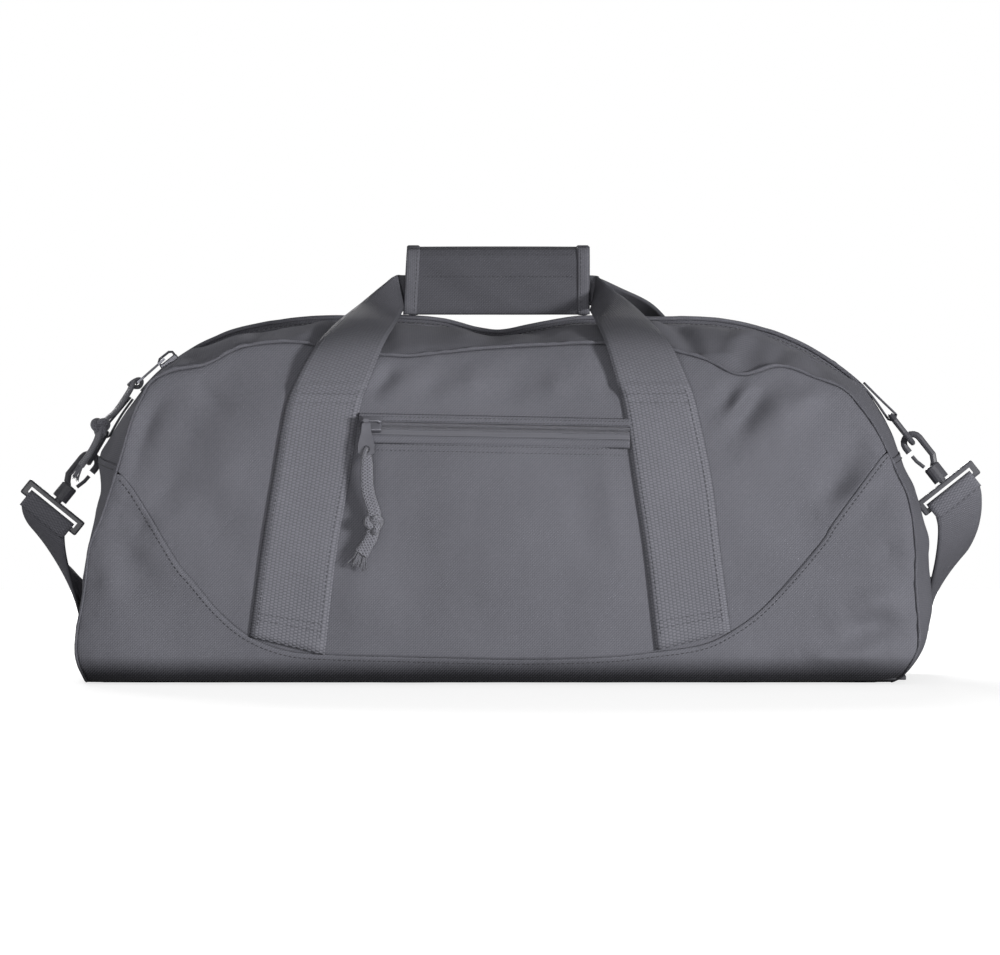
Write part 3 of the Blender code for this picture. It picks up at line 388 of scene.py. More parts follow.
def ride(item, body, *nodes, slot=None):
    """Ride on a body and stand for CAD nodes. The slot argument is not used."""
    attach(item, body)
    if nodes:
        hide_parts(*nodes)


def shell(item, thickness, body, *nodes, slot="cloth"):
    """Face a sheet outward, give it thickness and make it ride."""
    outward(item)
    thicken(item, thickness)
    ride(item, body, *nodes, slot=slot)


def fractal(points, scale, seed=0.0, octaves=3):
    """Smooth noise at each point, about -1 to 1."""
    move = Vector((seed, -seed * 0.7, seed * 1.3))
    return np.array([noise.fractal(Vector(p) * scale + move, 0.9, 2.0, octaves) for p in points])


def tube_mesh(name, path, radius, material, sides=12, flat=1.0, closed=False, face=(0, -1, 0), groove=0.0):
    """A tube along a path. radius is a number or one for each point; flat squeezes it."""
    path = np.asarray(path, float)
    radius = np.broadcast_to(radius, len(path))
    if closed:
        forward = np.roll(path, -1, 0) - np.roll(path, 1, 0)
    else:
        forward = np.gradient(path, axis=0)
    forward = unit(forward)
    side = unit(np.cross(forward, np.array(face, float)))
    up = np.cross(side, forward)
    turn = np.linspace(0, 2 * math.pi, sides, endpoint=False)
    thin = np.sin(turn) * flat * (1 - groove * np.exp(-((np.cos(turn) / 0.3) ** 2)))
    ring = np.cos(turn)[None, :, None] * side[:, None] + thin[None, :, None] * up[:, None]
    ring = path[:, None] + radius[:, None, None] * ring
    uv = np.stack(np.broadcast_arrays(turn[None] / (2 * math.pi), run(path)[:, None]), 2)
    faces = grid_faces(len(path), sides, True, True) if closed else bead_faces(0, len(path), sides)
    return make_mesh(name, ring.reshape(-1, 3), faces, material, uv.reshape(-1, 2))


def stitches(name, lines, lifts, body, material=THREAD_MAT, pitch=0.0034, length=0.0021, thick=0.00028):
    """Rows of sewn stitches: a flat-ended bead of thread for each, sunk a little at its ends."""
    section = ((1, 0.1), (0.5, 1.0), (-0.5, 1.0), (-1, 0.1), (-0.6, -0.6), (0.6, -0.6))
    points, faces = [], []
    for line, lift in zip(lines, lifts):
        line, lift = np.asarray(line, float), np.asarray(lift, float)
        count = max(int(line_length(line) / pitch), 1)
        stops = evenly(line, count * 4 + 1)
        ups = evenly(lift, count * 4 + 1) if lift.ndim == 2 else np.broadcast_to(lift, stops.shape)
        for k in range(2, 4 * count, 4):
            along, up = unit(stops[k + 1] - stops[k - 1]), unit(ups[k])
            across = np.cross(along, up)
            faces += bead_faces(len(points), 4, 6)
            for share, r in ((-0.5, 0.35), (-0.3, 1.0), (0.3, 1.0), (0.5, 0.35)):
                middle = stops[k] + along * length * share
                points += [middle + (across * a + up * b) * thick * r for a, b in section]
    ride(make_mesh(name, points, faces, material), body)


# --- the bag's surface ----------------------------------------------------------------------
def half_depth(x, z):
    """Distance of the front's or back's seam plane from the middle of the bag."""
    rise = np.maximum(z, 0.0) / SEAM_TOP
    return HALF_DEPTH - LEAN * rise**3 - PLAN_CURVE * (x / HALF_LENGTH) ** 2 * rise


def tuck(z):
    """How far the cloth rolls in under the bag at a height."""
    roll = np.clip(1 - z / FLOOR_ROLL, 0, 1)
    return FLOOR_ROLL * 0.95 * (1 - np.sqrt(np.maximum(1 - roll**2, 0)))


LINE = evenly(catmull(np.array(BAND) / 1000, 10), 641)  # evenly spaced along the band's middle
SEAM = LINE[:, 2:]
BOOT = catmull(np.array(BOOT_SEAM) / 1000, 10)
GIRTH = line_length(LINE[:, :2])


def distance_to(points, line):
    """Distance in a plane from points to a polyline."""
    best = np.full(len(points), 9.0)
    for p, q in zip(line[:-1], line[1:]):
        d = q - p
        t = np.clip(((points - p) @ d) / max(d @ d, 1e-12), 0, 1)
        best = np.minimum(best, np.linalg.norm(points - (p + t[:, None] * d), axis=1))
    return best


def fold_table(rows):
    """Rows of ((x, y, x, y, ...), half width, height) in thousandths; below 0 is a hollow."""
    return [(np.reshape(line, (-1, 2)) / 1000, wide / 1000, high / 1000) for line, wide, high in rows]


# soft folds in the front, as places in x and z
FRONT_FOLDS = fold_table([
    ((-263, 152, -240, 190, -233, 204), 10, -3.5), ((-245, 145, -215, 175, -190, 208), 18, -2.8),
    ((-233, 125, -190, 105, -165, 70), 20, -2.4), ((-214, 208, -202, 196, -180, 185), 7, -1.6),
    ((-265, 115, -245, 108, -233, 98), 8, -2.2), ((-268, 85, -248, 70, -240, 50), 16, -2),
    ((-69, 223, -87, 201, -94, 190), 6, -2.4), ((-37, 218, -52, 200, -66, 186), 8, -1.4),
    ((-11, 220, -20, 208, -31, 195), 8, 1.6), ((15, 212, 4, 198, -8, 188), 8, -1.7),
    ((48, 213, 34, 200, 22, 191), 8, 1.8), ((67, 220, 73, 204, 80, 190), 7, -2),
    ((-248, 151, -230, 133, -211, 117), 14, -2.6), ((-207, 165, -190, 148, -172, 130), 16, 1.8),
    ((-260, 109, -256, 88, -250, 66), 10, -2.4), ((-274, 90, -270, 70, -266, 52), 9, 2),
    ((164, 209, 156, 198, 143, 183), 6, -3), ((160, 214, 162.5, 208), 2.8, -2.2),
    ((176, 212, 164, 198, 150, 180), 6, 2.2), ((183, 208, 170, 188, 153.5, 165), 8, -3.2),
    ((213, 206, 195, 188, 175, 160), 12, 2.2), ((240, 152, 226, 135, 211.5, 117), 9, -3),
    ((256, 156, 244, 133, 226, 116), 9, 2.2), ((225, 205, 208, 195, 190, 188), 8, 2),
    ((258, 170, 235, 150, 205, 135), 14, -2.4), ((270, 125, 248, 122, 230, 110), 10, -2),
    ((278, 95, 265, 92, 250, 96), 8, -2.4), ((280, 52, 260, 58, 230, 50), 9, 2.6),
    ((278, 40, 255, 40, 225, 33), 8, -2.6), ((265, 22, 235, 19, 200, 21), 7, 2),
    ((50, 170, 55, 120, 48, 70), 16, -0.9), ((-30, 165, -35, 120, -25, 80), 18, 0.8),
])
# folds in the band, as places in its share of the girth and in how far across it
BAND_FOLDS = fold_table([
    ((205, -950, 215, -600, 222, -200), 10, -4), ((245, -980, 262, -600, 270, -200), 8, 3),
    ((300, -980, 318, -620, 324, -300), 9, -3), ((345, -950, 362, -550, 372, -200), 11, 3),
    ((415, -950, 405, -600, 392, -200), 10, -3), ((470, -900, 468, -500, 455, -150), 12, 2.6),
    ((530, -920, 525, -600, 510, -200), 12, -2.4), ((600, -960, 607, -600, 612, -200), 10, 3),
    ((640, -990, 634, -700, 620, -300), 8, -5), ((662, -980, 668, -700, 690, -250), 8, 3.5),
    ((700, -980, 706, -650, 712, -250), 8, -3), ((742, -980, 735, -600, 728, -200), 9, -2.8),
    ((130, -980, 140, -500, 132, 300), 10, -5), ((165, -980, 158, -600, 168, 100), 9, 3.5),
    ((75, -980, 82, -550, 78, 200), 12, 3), ((850, -990, 858, -700, 850, -200), 8, -6),
    ((876, -990, 884, -700, 890, 100), 9, 5), ((905, -990, 910, -650, 902, 0), 8, -5.5),
    ((930, -990, 938, -500, 940, 300), 10, 4),
])


def folds(points, places):
    """Height of the soft folds at points in a plane."""
    out = np.zeros(len(points))
    for line, width, height in places:
        line = catmull(line, 5)
        near_end = np.minimum(*(np.linalg.norm(points - line[k], axis=1) for k in (0, -1)))
        taper = np.clip(near_end / (2.5 * width), 0.25, 1)
        out += height * taper * np.exp(-((distance_to(points, line) / width) ** 2))
    return out


def front_off(x, z, side):
    """How far the cloth stands outside the seam plane, without the pocket."""
    edge = distance_to(np.stack([x, z], 1), SEAM[::4])
    crown = 0.0052 * (1 - np.exp(-edge / 0.035)) - 0.0012 * np.exp(-edge / 0.003)
    flip = -side  # the back's folds mirror the front's
    swell = fractal(np.stack([x * flip, z, z * 0 + side], 1), 13.0, 4.0, 2) * 0.0022
    swell += fractal(np.stack([x, z * 0.7, z * 0 + side], 1), 46.0, 9.0, 2) * 0.00035
    swell += 1.9 * folds(np.stack([x * flip, z], 1), FRONT_FOLDS)
    rough = fractal(np.stack([x, z, z * 0 + side], 1), 120.0, 2.0, 1)
    pucker = np.exp(-edge / 0.009) * rough * 0.0008
    fade = np.clip(edge / 0.012, 0, 1)
    if side < 0:  # calm round the pocket's zip
        calm = np.clip((np.abs(x + 0.008) - 0.100) / 0.020, 0, 1)
        calm = np.maximum(calm, np.clip((np.abs(z - 0.175) - 0.012) / 0.020, 0, 1))
        crown -= 0.0008 * (1 - calm)
        fade *= calm
    return crown + fade * swell + pucker


POCKET = [(-0.1213, 0.0235), (-0.1008, 0.1655), (0.0840, 0.1620), (0.1030, 0.0235)]


def pocket_off(x, z):
    """Extra height of the pocket's front panel, fullest along its zip."""
    rise = np.clip((z - POCKET[0][1]) / 0.142, 0, 1)
    left = POCKET[0][0] + (POCKET[1][0] - POCKET[0][0]) * rise
    right = POCKET[3][0] + (POCKET[2][0] - POCKET[3][0]) * rise
    across = ease(np.clip((np.minimum(x - left, right - x) + 0.004) / 0.024, 0, 1))
    over = np.clip((0.1705 - ZIP_SLOPE * (x - SLIDER_X) - z) / 0.0035, 0, 1)
    return 0.0046 * across * over * (0.25 + 0.75 * ease(np.clip(rise * 1.15, 0, 1)))


def side_y(x, z, side):
    """Y of the front (side -1) or back (side 1) cloth."""
    x, z = np.broadcast_arrays(np.asarray(x, float), np.asarray(z, float))
    a, b = x.ravel(), z.ravel()
    return (side * (half_depth(a, b) + front_off(a, b, side) - tuck(b))).reshape(x.shape)


def face_normal(x, z, side):
    """Outward direction of the front or back cloth, without its folds."""
    step = 0.002
    dx = (half_depth(x + step, z) - half_depth(x - step, z)) / (2 * step)
    dz = (half_depth(x, z + step) - half_depth(x, z - step)) / (2 * step)
    return unit(np.stack([-dx, np.full_like(dx, side), -dz], 1))


def fan():
    """Rays from the panel's middle line out to its outline, with where each meets the boot seam."""
    reach, shrink, count = 0.160, 0.92, 301
    middle = np.linspace(-reach, reach, count)
    top = SEAM[(SEAM[:, 1] > 0.2) & (np.abs(SEAM[:, 0]) < 0.2)]
    over = np.stack([middle / shrink, np.interp(middle / shrink, top[:, 0], top[:, 1])], 1)
    left = evenly(SEAM[SEAM[:, 0] < over[0, 0]], 170)[:-1]
    right = evenly(SEAM[SEAM[:, 0] > over[-1, 0]], 170)[1:]
    floor = np.stack([middle[::-1] / shrink, np.full(count, SEAM[0, 1])], 1)
    near_right = evenly([right[-1], floor[0]], 40)[1:-1]
    near_left = evenly([floor[-1], left[0]], 40)[1:-1]
    outer = np.vstack([left, over, right, near_right, floor, near_left])
    hub = np.stack([np.clip(outer[:, 0] * shrink, -reach, reach), np.full(len(outer), 0.118)], 1)
    meet = np.full(len(outer), np.nan)
    edge = BOOT[1:] - BOOT[:-1]
    for k, (p, h) in enumerate(zip(outer, hub)):
        ray, start = p - h, BOOT[:-1] - h
        down = ray[0] * edge[:, 1] - ray[1] * edge[:, 0]
        with np.errstate(divide="ignore", invalid="ignore"):
            along = (start[:, 0] * edge[:, 1] - start[:, 1] * edge[:, 0]) / down
            part = (start[:, 0] * ray[1] - start[:, 1] * ray[0]) / down
        hit = (part >= 0) & (part <= 1) & (along > 0.05) & (along < 0.985)
        if hit.any():
            meet[k] = along[hit].min()
    return outer, hub, meet


def weld(item, near):
    mesh = bmesh.new()
    mesh.from_mesh(item.data)
    bmesh.ops.remove_doubles(mesh, verts=mesh.verts, dist=near)
    mesh.to_mesh(item.data)
    mesh.free()


def body_sides():
    """The front's and back's upper panel and lower panel."""
    outer, hub, meet = fan()
    for side, word in ((-1, "front"), (1, "back")):
        inside = np.nan_to_num(meet, nan=1.0) * np.linspace(1, 0, 50)[:, None]
        place = hub + (outer - hub) * inside[..., None]
        x, z = place[..., 0], place[..., 1]
        y = side_y(x, z, side)
        if side < 0:
            y = y - pocket_off(x, z)
        name = f"{word}_upper_cloth"
        upper = grid_piece(name, np.stack([x, y, z], 2), CLOTH_MAT, place, closed=True)
        weld(upper, 0.00005)
        covered = [f"{word}_panel"] + (["pocket_panel"] if side < 0 else [])
        shell(upper, CLOTH, "bag", *covered)

        keep = np.where(~np.isnan(meet))[0]
        first = next(k for k in keep if (k - 1) % len(outer) not in set(keep))
        order = [(first + k) % len(outer) for k in range(len(keep))]
        near = hub[order] + (outer[order] - hub[order]) * (meet[order] - 0.003)[:, None]
        place = near + (outer[order] - near) * np.linspace(0, 1, 36)[:, None, None]
        x, z = place[..., 0], place[..., 1]
        from_seam = np.linalg.norm(place - near, axis=2)
        lap = 0.0013 * np.exp(-from_seam / 0.012) - 0.0012 * np.exp(-from_seam / 0.0007)
        y = side_y(x, z, side) + side * lap
        lower = grid_piece(f"{word}_lower_cloth", np.stack([x, y, z], 2), CLOTH_MAT, place)
        shell(lower, CLOTH, "bag", f"{word}_lower_panel")

        row = BOOT[(BOOT[:, 0] > -0.262) & (BOOT[:, 0] < 0.262)]
        normal = unit(np.stack([-np.gradient(row[:, 1]), np.gradient(row[:, 0])], 1))
        x, z = evenly(row - normal * 0.0032, 400).T
        line = np.stack([x, side_y(x, z, side) + side * 0.0012, z], 1)
        stitches(f"{word}_boot_stitches", [line], [face_normal(x, z, side)], "bag")


# --- the band: mouth and ends ---------------------------------------------------------------
def share_at(x, z):
    """The share of the band's length nearest to a place on its middle line."""
    return float(np.argmin(np.hypot(LINE[:, 0] - x, LINE[:, 1] - z))) / (len(LINE) - 1)


LEAN_FROM, LEAN_TO = share_at(-0.2360, 0.2140), share_at(0.2520, 0.1985)
LEFT_SEAM, RIGHT_SEAM = share_at(-0.2790, 0.1540), share_at(0.2730, 0.1570)
LEFT_ZIP, RIGHT_ZIP = share_at(-0.2510, 0.1990), share_at(0.2510, 0.1990)


def band_grid(low, high, rows, across):
    """Points of the band between two shares of its length, at places across it, with their UVs
    and each row's outward direction."""
    share = np.linspace(low, high, rows)
    at = share * (len(LINE) - 1)
    mid_x, mid_z, seam_x, seam_z = (np.interp(at, np.arange(len(LINE)), column) for column in LINE.T)
    across = np.asarray(across, float)
    w = np.broadcast_to(across, (rows, len(across)))
    blend = np.abs(w) ** 2.4
    deep = half_depth(seam_x, seam_z) - tuck(seam_z)
    x = mid_x[:, None] + (seam_x - mid_x)[:, None] * blend
    z = mid_z[:, None] + (seam_z - mid_z)[:, None] * blend
    y = w * deep[:, None]
    tangent = unit(np.stack([np.gradient(mid_x), np.gradient(mid_z)], 1))
    out_x, out_z = -tangent[:, 1], tangent[:, 0]

    place = np.stack([np.broadcast_to(share[:, None], w.shape) * GIRTH, y], 2).reshape(-1, 2)
    spots = [(line * (GIRTH, 0.12), wide, high_) for line, wide, high_ in BAND_FOLDS]
    mirrored = [((GIRTH + 0.013, 0) - line, wide, high_) for line, wide, high_ in spots]
    height = folds(place, spots) + folds(place, mirrored)
    base = np.stack([x, y, z], 2).reshape(-1, 3)
    height += fractal(base, 16.0, 3.0, 2) * 0.0012 + fractal(base, 60.0, 5.0, 2) * 0.0003
    edge = np.abs(np.abs(place[:, 1]) - np.repeat(deep, w.shape[1]))
    height += np.exp(-edge / 0.009) * fractal(base, 120.0, 2.0, 1) * 0.0006
    fade = np.clip(edge / 0.010, 0, 1) * np.clip(base[:, 2] / 0.02, 0, 1)
    fade *= 1 - 0.70 * np.clip((0.17 - base[:, 2]) / 0.03, 0, 1)  # the ends are stiffer
    height = (height * fade).reshape(w.shape)
    # the closed mouth leans forward, so its back edge stands over its front edge
    mouth = np.clip((share - LEAN_FROM) / 0.035, 0, 1) * np.clip((LEAN_TO - share) / 0.03, 0, 1)
    near = np.exp(-((np.maximum(np.abs(y) - 0.013, 0) / 0.030) ** 2))
    height += ease(mouth)[:, None] * near * 0.0034 * (np.tanh(y / 0.008) - 1)
    x = x + out_x[:, None] * height
    z = np.maximum(z + out_z[:, None] * height, 0.0004)
    uv = np.stack(np.broadcast_arrays(y, (share * GIRTH)[:, None]), 2)
    return np.stack([x, y, z], 2), uv, np.stack([out_x, 0 * out_x, out_z], 1)


def body_band():
    """The two mouth panels and the two ends, with their cross seams."""
    for side, word in ((-1, "front"), (1, "back")):
        across = side * np.concatenate([[0.068, 0.072, 0.080], np.linspace(0.09, 1.0, 58)])
        grid, uv, out = band_grid(LEFT_SEAM, RIGHT_SEAM, 330, across)
        from_zip = (np.abs(grid[..., 1]) - 0.0085) / 0.002
        sink = 0.0030 * np.exp(-np.maximum(from_zip, 0) ** 2)
        grid = grid - out[:, None] * sink[..., None]
        piece = grid_piece(f"mouth_{word}_cloth", grid, CLOTH_MAT, uv)
        shell(piece, CLOTH, "bag", f"mouth_{word}_panel")

        def row(count, from_middle, lift):
            """A line along the panel beside the zip."""
            line = band_grid(LEFT_ZIP, RIGHT_ZIP, count, [side * from_middle / 0.11])[0]
            at = np.linspace(0, len(out) - 1, count).astype(int)
            return line[:, 0] + out[at] * lift

        rim = tube_mesh(f"mouth_{word}_rim", row(420, 0.0100, 0.0004), 0.0015, CLOTH_MAT)
        ride(rim, "bag", slot="cloth")
        stitches(f"mouth_{word}_stitches", [row(300, 0.0150, 0.0001)], [out], "bag")
    for word, low, high in (("left", 0.0, LEFT_SEAM), ("right", RIGHT_SEAM, 1.0)):
        grid, uv, out = band_grid(low, high, 90, np.linspace(-1, 1, 110))
        near = np.linspace(0, 1, 90)[:: 1 if word == "left" else -1]
        gap = (1 - near) * line_length(grid[:, 55])
        grid = grid + out[:, None] * (0.0012 * np.exp(-gap / 0.008))[:, None, None]
        piece = grid_piece(f"{word}_end_cloth", grid, CLOTH_MAT, uv)
        shell(piece, CLOTH, "bag", f"{word}_end_panel")
        # the row of stitches leaves out the middle, where the snap hook swings past
        k = int(np.argmin(np.abs(gap - 0.0035)))
        halves = [grid[k, 2:46] + out[k] * 0.0004, grid[k, 64:-2] + out[k] * 0.0004]
        stitches(f"{word}_end_stitches", halves, [out[k]] * 2, "bag")


def seam_rolls():
    """The raised, puckered seams where the front and back meet the band."""
    for side, word in ((-1, "front"), (1, "back")):
        x, z = evenly(SEAM, 520).T
        top = np.clip((z - 0.195) / 0.02, 0, 1)
        y = side * (half_depth(x, z) - tuck(z) - 0.0003 + 0.0006 * top)
        line = np.stack([x, y, np.maximum(z, 0.0016)], 1)
        ripple = fractal(line, 90.0, 7.0, 2)
        line[:, 2] += ripple * 0.0006 + top * 0.0003
        size = 0.0008 + 0.0005 * top + 0.0005 * ripple
        ride(tube_mesh(f"{word}_seam_roll", line, size, CLOTH_MAT, 10), "bag", slot="cloth")


def bottom():
    """The cloth floor of the bag."""
    left, right, rim = -0.2865, 0.2670, 0.012
    x = np.linspace(left, right, 90)[:, None]
    deep = -side_y(x, 0 * x + 0.0005, -1) + 0.0004
    x, y = np.broadcast_arrays(x, np.linspace(-1, 1, 50)[None] * deep)
    inside = np.clip(np.minimum(deep - np.abs(y), np.minimum(x - left, right - x)) / rim, 0, 1)
    z = 0.0016 - 0.0010 * inside + 0.0004 * np.sin(x * 70) * np.sin(y * 55)
    piece = grid_piece("bottom_cloth", np.stack([x, y, z], 2), LINING_MAT, np.stack([x, y], 2))
    shell(piece, 0.0006, "bag", "bottom_panel")


# --- zips -----------------------------------------------------------------------------------
def zip_teeth(name, line, ups, body, *nodes, pitch=0.0015, half=0.0026):
    """A closed coil: a rounded bead each side of the middle for every turn of the coil."""
    count = int(line_length(line) / pitch) + 1
    stops, lifts = evenly(line, count), evenly(ups, count)
    along = unit(np.gradient(stops, axis=0)) * pitch * 0.8
    across = np.cross(unit(along), lifts) * half
    ring = [(0.0, -0.2), (0.35, 0.35), (0.5, 1.0), (0.35, 1.4), (0.0, 1.5)]
    ring += [(-a, b) for a, b in ring[3:0:-1]]
    points, faces = [], []
    for k in range(count):
        side = 1 if k % 2 else -1
        faces += bead_faces(len(points), 4, len(ring))
        for reach, size in ((-0.25, 0.6), (0.15, 1.0), (0.75, 1.0), (1.0, 0.5)):
            middle = stops[k] + across[k] * side * reach
            points += [middle + along[k] * a * size + lifts[k] * 0.0008 * b * size for a, b in ring]
    ride(make_mesh(name, points, faces, COIL_MAT), body, *nodes)


def main_zip():
    """The mouth's zip: tape, coil and the cloth tabs over its ends."""
    count = 420
    grid, uv, out = band_grid(LEFT_ZIP, RIGHT_ZIP, count, np.linspace(-0.0090, 0.0090, 11) / 0.112)
    inner = np.clip(np.minimum(np.arange(count), count - 1 - np.arange(count)) / 60, 0, 1)[:, None]
    dip = 0.0014 + 0.0014 * inner + 0.0006 * np.clip((np.abs(grid[..., 1]) - 0.006) / 0.003, 0, 1)
    grid = grid - out[:, None] * dip[..., None]
    tape = grid_piece("main_zip_tape_cloth", grid, TAPE_MAT, uv)
    shell(tape, 0.0008, "bag", "main_zip_tape_front", "main_zip_tape_back", slot="zip")
    zip_teeth("main_zip_coil_teeth", grid[:, 5] + out * 0.0002, out, "bag", "main_zip_coil")
    rows = [grid[:, k] + out * 0.0003 for k in (2, 8)]
    stitches("main_zip_stitches", rows, [out, out], "bag")
    for word, low, high in (("left", LEFT_SEAM, LEFT_ZIP), ("right", RIGHT_ZIP, RIGHT_SEAM)):
        grid, uv, out = band_grid(low, high, 40, np.linspace(-0.0100, 0.0100, 13) / 0.115)
        edge = np.clip(1 - np.abs(grid[..., 1]) / 0.0100, 0, 1)
        grid = grid + out[:, None] * (0.0010 * np.sqrt(edge) - 0.0004)[..., None]
        tab = grid_piece(f"zip_end_tab_{word}_cloth", grid, CLOTH_MAT, uv)
        shell(tab, 0.0016, "bag", f"zip_end_tab_{word}")


def pocket_zip():
    """The pocket's zip: its tape, coil and the stitched hems above and below it."""
    xs = np.linspace(-0.0990, 0.0865, 190)
    drop = ZIP_SLOPE * (xs - SLIDER_X)
    # each strip's (height, stand-off) levels, in tenths of a millimetre
    strips = {
        "pocket_zip_tape_cloth": [(1665, 90), (1700, 84), (1768, 64), (1830, 46), (1850, 44)],
        "pocket_upper_hem": [
            (1798, 58), (1801, 68), (1806, 71), (1835, 68), (1849, 67), (1853, 62), (1856, 40)
        ],
        "pocket_lower_hem": [(1714, 70), (1712, 86), (1706, 94), (1690, 97), (1665, 93), (1650, 78)],
    }
    grids = {}
    for name, levels in strips.items():
        heights, offs = np.array(levels).T[..., None] / 10000
        z = heights - drop[None]
        x = np.broadcast_to(xs, z.shape)
        wave = 0.00025 * np.sin(x * 95) * np.sin(x * 31 + 1)
        y = -(half_depth(x * 0, heights + 0 * x) + offs + wave)
        grids[name] = np.stack([x, y, z], 2)
        tape = name.startswith("pocket_zip")
        piece = grid_piece(name, grids[name], TAPE_MAT if tape else CLOTH_MAT, np.stack([z, x], 2))
        covered = ["pocket_zip_tape"] if tape else []
        shell(piece, 0.0007, "bag", *covered, slot="zip" if tape else "cloth")
    up = np.array([0, -1.0, 0.15])
    rows = [grids["pocket_upper_hem"][3] + up * 0.0002]
    for z in (0.1648, 0.1606):
        height = z - drop
        y = side_y(xs, height, -1) - pocket_off(xs, height) - 0.0002
        rows.append(np.stack([xs, y, height], 1))
    stitches("pocket_hem_stitches", rows, [up] * 3, "bag", pitch=0.0030, length=0.0014, thick=0.0002)
    y = -(half_depth(xs * 0, ZIP_Z + 0 * xs) + 0.0068)
    line = np.stack([xs, y, ZIP_Z - drop], 1)
    for word, shift, nodes in (("upper", 0.0015, ["pocket_zip_coil"]), ("lower", -0.0015, [])):
        ridge = evenly(line + (0, -0.0002, shift), 340)
        size = 0.0012 + 0.00012 * (np.arange(340) % 2)
        coil = tube_mesh(f"pocket_zip_coil_{word}", ridge, size, TAPE_MAT, 10, 0.6)
        ride(coil, "bag", *nodes, slot="zip")
    rows = [line + (0, 0.0001, z) for z in (0.0042, -0.0040)]
    stitches("pocket_tape_stitches", rows, [up] * 2, "bag", pitch=0.0026, length=0.0014, thick=0.0002)


# --- webbing --------------------------------------------------------------------------------
# Each hand's handle strap, in millimetres. First where it is sewn on: x and z of its outer
# edge, then of its inner edge. Then where it is free: x, y and z of its outer edge, then of its
# inner edge, and how much of the extra reach is added there.
HANDLE_SEWN = {
    -1: [
        (-173.5, 33, -122.5, 20.5), (-166, 90, -114.5, 90),
        (-157.7, 142, -105.5, 142), (-150, 187, -99, 187),
    ],
    1: [
        (155.5, 36, 104.5, 23.5), (148.5, 90, 97, 90),
        (142.5, 140, 89.5, 140), (133, 187, 82.8, 187),
    ],
}
HANDLE_FREE = {
    -1: [
        (-143, -121.5, 206.5, -93, -121.5, 206, 1),
        (-130, -113, 230, -82, -112.5, 233, 1),
        (-115, -85, 246.5, -74.5, -84, 246, 1),
        (-98.5, -50, 260, -71.5, -48, 252.5, 1),
        (-84, -24, 272.5, -70, -24, 256, 0.5),
        (-75.2, -8.5, 279.5, -69, -7, 258, 0),
        (-64, -3.5, 280, -64, -3.5, 259, 0),
        (0, -3.5, 280, 0, -3.5, 259, 0),
    ],
    1: [
        (127, -121.5, 206.5, 78, -121.5, 206, 1),
        (115, -113, 232, 70, -112.5, 233, 1),
        (102, -85, 246.5, 64, -84, 247, 1),
        (88, -50, 260, 61.5, -48, 252.5, 1),
        (74.5, -24, 270.5, 60.5, -24, 256, 0.5),
        (66.5, -8.5, 278, 62.5, -7, 258, 0),
        (57, -3.5, 280, 57, -3.5, 259, 0),
        (0, -3.5, 280, 0, -3.5, 259, 0),
    ],
}


def handle_edges(side, face, reach):
    """A handle strap's outer and inner edge, from where it is sewn on up to the grip's middle."""
    sewn, free = np.array(HANDLE_SEWN[side]) / 1000, np.array(HANDLE_FREE[side])
    more = side * reach * free[:, 6]
    edges = []
    for k in (0, 1):
        x, z = sewn[:, 2 * k : 2 * k + 2].T
        high = free[:, 3 * k : 3 * k + 3] / 1000
        high[:, 0] += more
        high[:, 1] *= -face
        edges.append(np.vstack([np.stack([x, side_y(x, z, face), z], 1), high]))
    return edges


def handles():
    """The four handle straps, sewn on below and gathered in the grip above."""
    steps, columns = 14, 13
    sewn = 4 * steps
    share = np.linspace(0, 1, columns)
    for face, word, reach in ((-1, "front", 0.0), (1, "back", 0.004)):
        for side, hand in ((-1, "left"), (1, "right")):
            a, b = (catmull(edge, steps) for edge in handle_edges(side, face, reach * (1 + side) * 1.8))
            grid = a[:, None] + (b - a)[:, None] * share[None, :, None]
            x, z = grid[:sewn, :, 0], grid[:sewn, :, 2]
            extra = pocket_off(x, z) if face < 0 else 0 * x
            lift = 0.0010 + 0.0012 * np.clip(np.minimum(share, 1 - share) / 0.06, 0, 1)
            on_cloth = side_y(x, z, face) + face * (extra + lift)
            fade = np.clip((np.arange(sewn) - (sewn - 10)) / 10, 0, 1)[:, None]
            grid[:sewn, :, 1] = on_cloth * (1 - fade) + (grid[:sewn, :, 1] + face * lift) * fade
            normal = unit(np.cross(np.gradient(grid[:, 6], axis=0), b - a))
            normal *= np.sign((normal * np.array([0, face, 0.5])).sum(1))[:, None]
            row = np.arange(len(a))
            free = np.clip((row - sewn) / (2 * steps), 0, 1)
            free *= np.clip((len(a) - 1.6 * steps - row) / (2 * steps), 0, 1)
            bow = 0.0032 * free[:, None] * (1 - (2 * share - 1) ** 2)
            grid = grid + normal[:, None] * bow[..., None]
            uv = np.stack(np.broadcast_arrays(share[None] * WEB_WIDTH, run(grid[:, 6])[:, None]), 2)
            strap = grid_piece(f"{word}_handle_{hand}_web", grid, WEB_MAT, uv)
            thicken(strap, WEB_THICK, 0.0)
            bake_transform(strap)
            core = [f"{word}_handle_core"] if side < 0 else []
            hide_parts(f"{word}_handle_strap_{hand}", *core)

            lift = np.array([0, face * 0.0011, 0])
            rows = [grid[2 : sewn - 2, k] + lift for k in (1, -2)]
            across = (3, int(0.35 * steps), int(3.25 * steps), int(3.6 * steps))
            rows += [evenly(grid[k, 1:-1] + lift, 12) for k in across]
            ups = [np.array([0, face, 0.1])] * len(rows)
            stitches(f"{word}_handle_{hand}_stitches", rows, ups, "bag", PALE_THREAD_MAT)


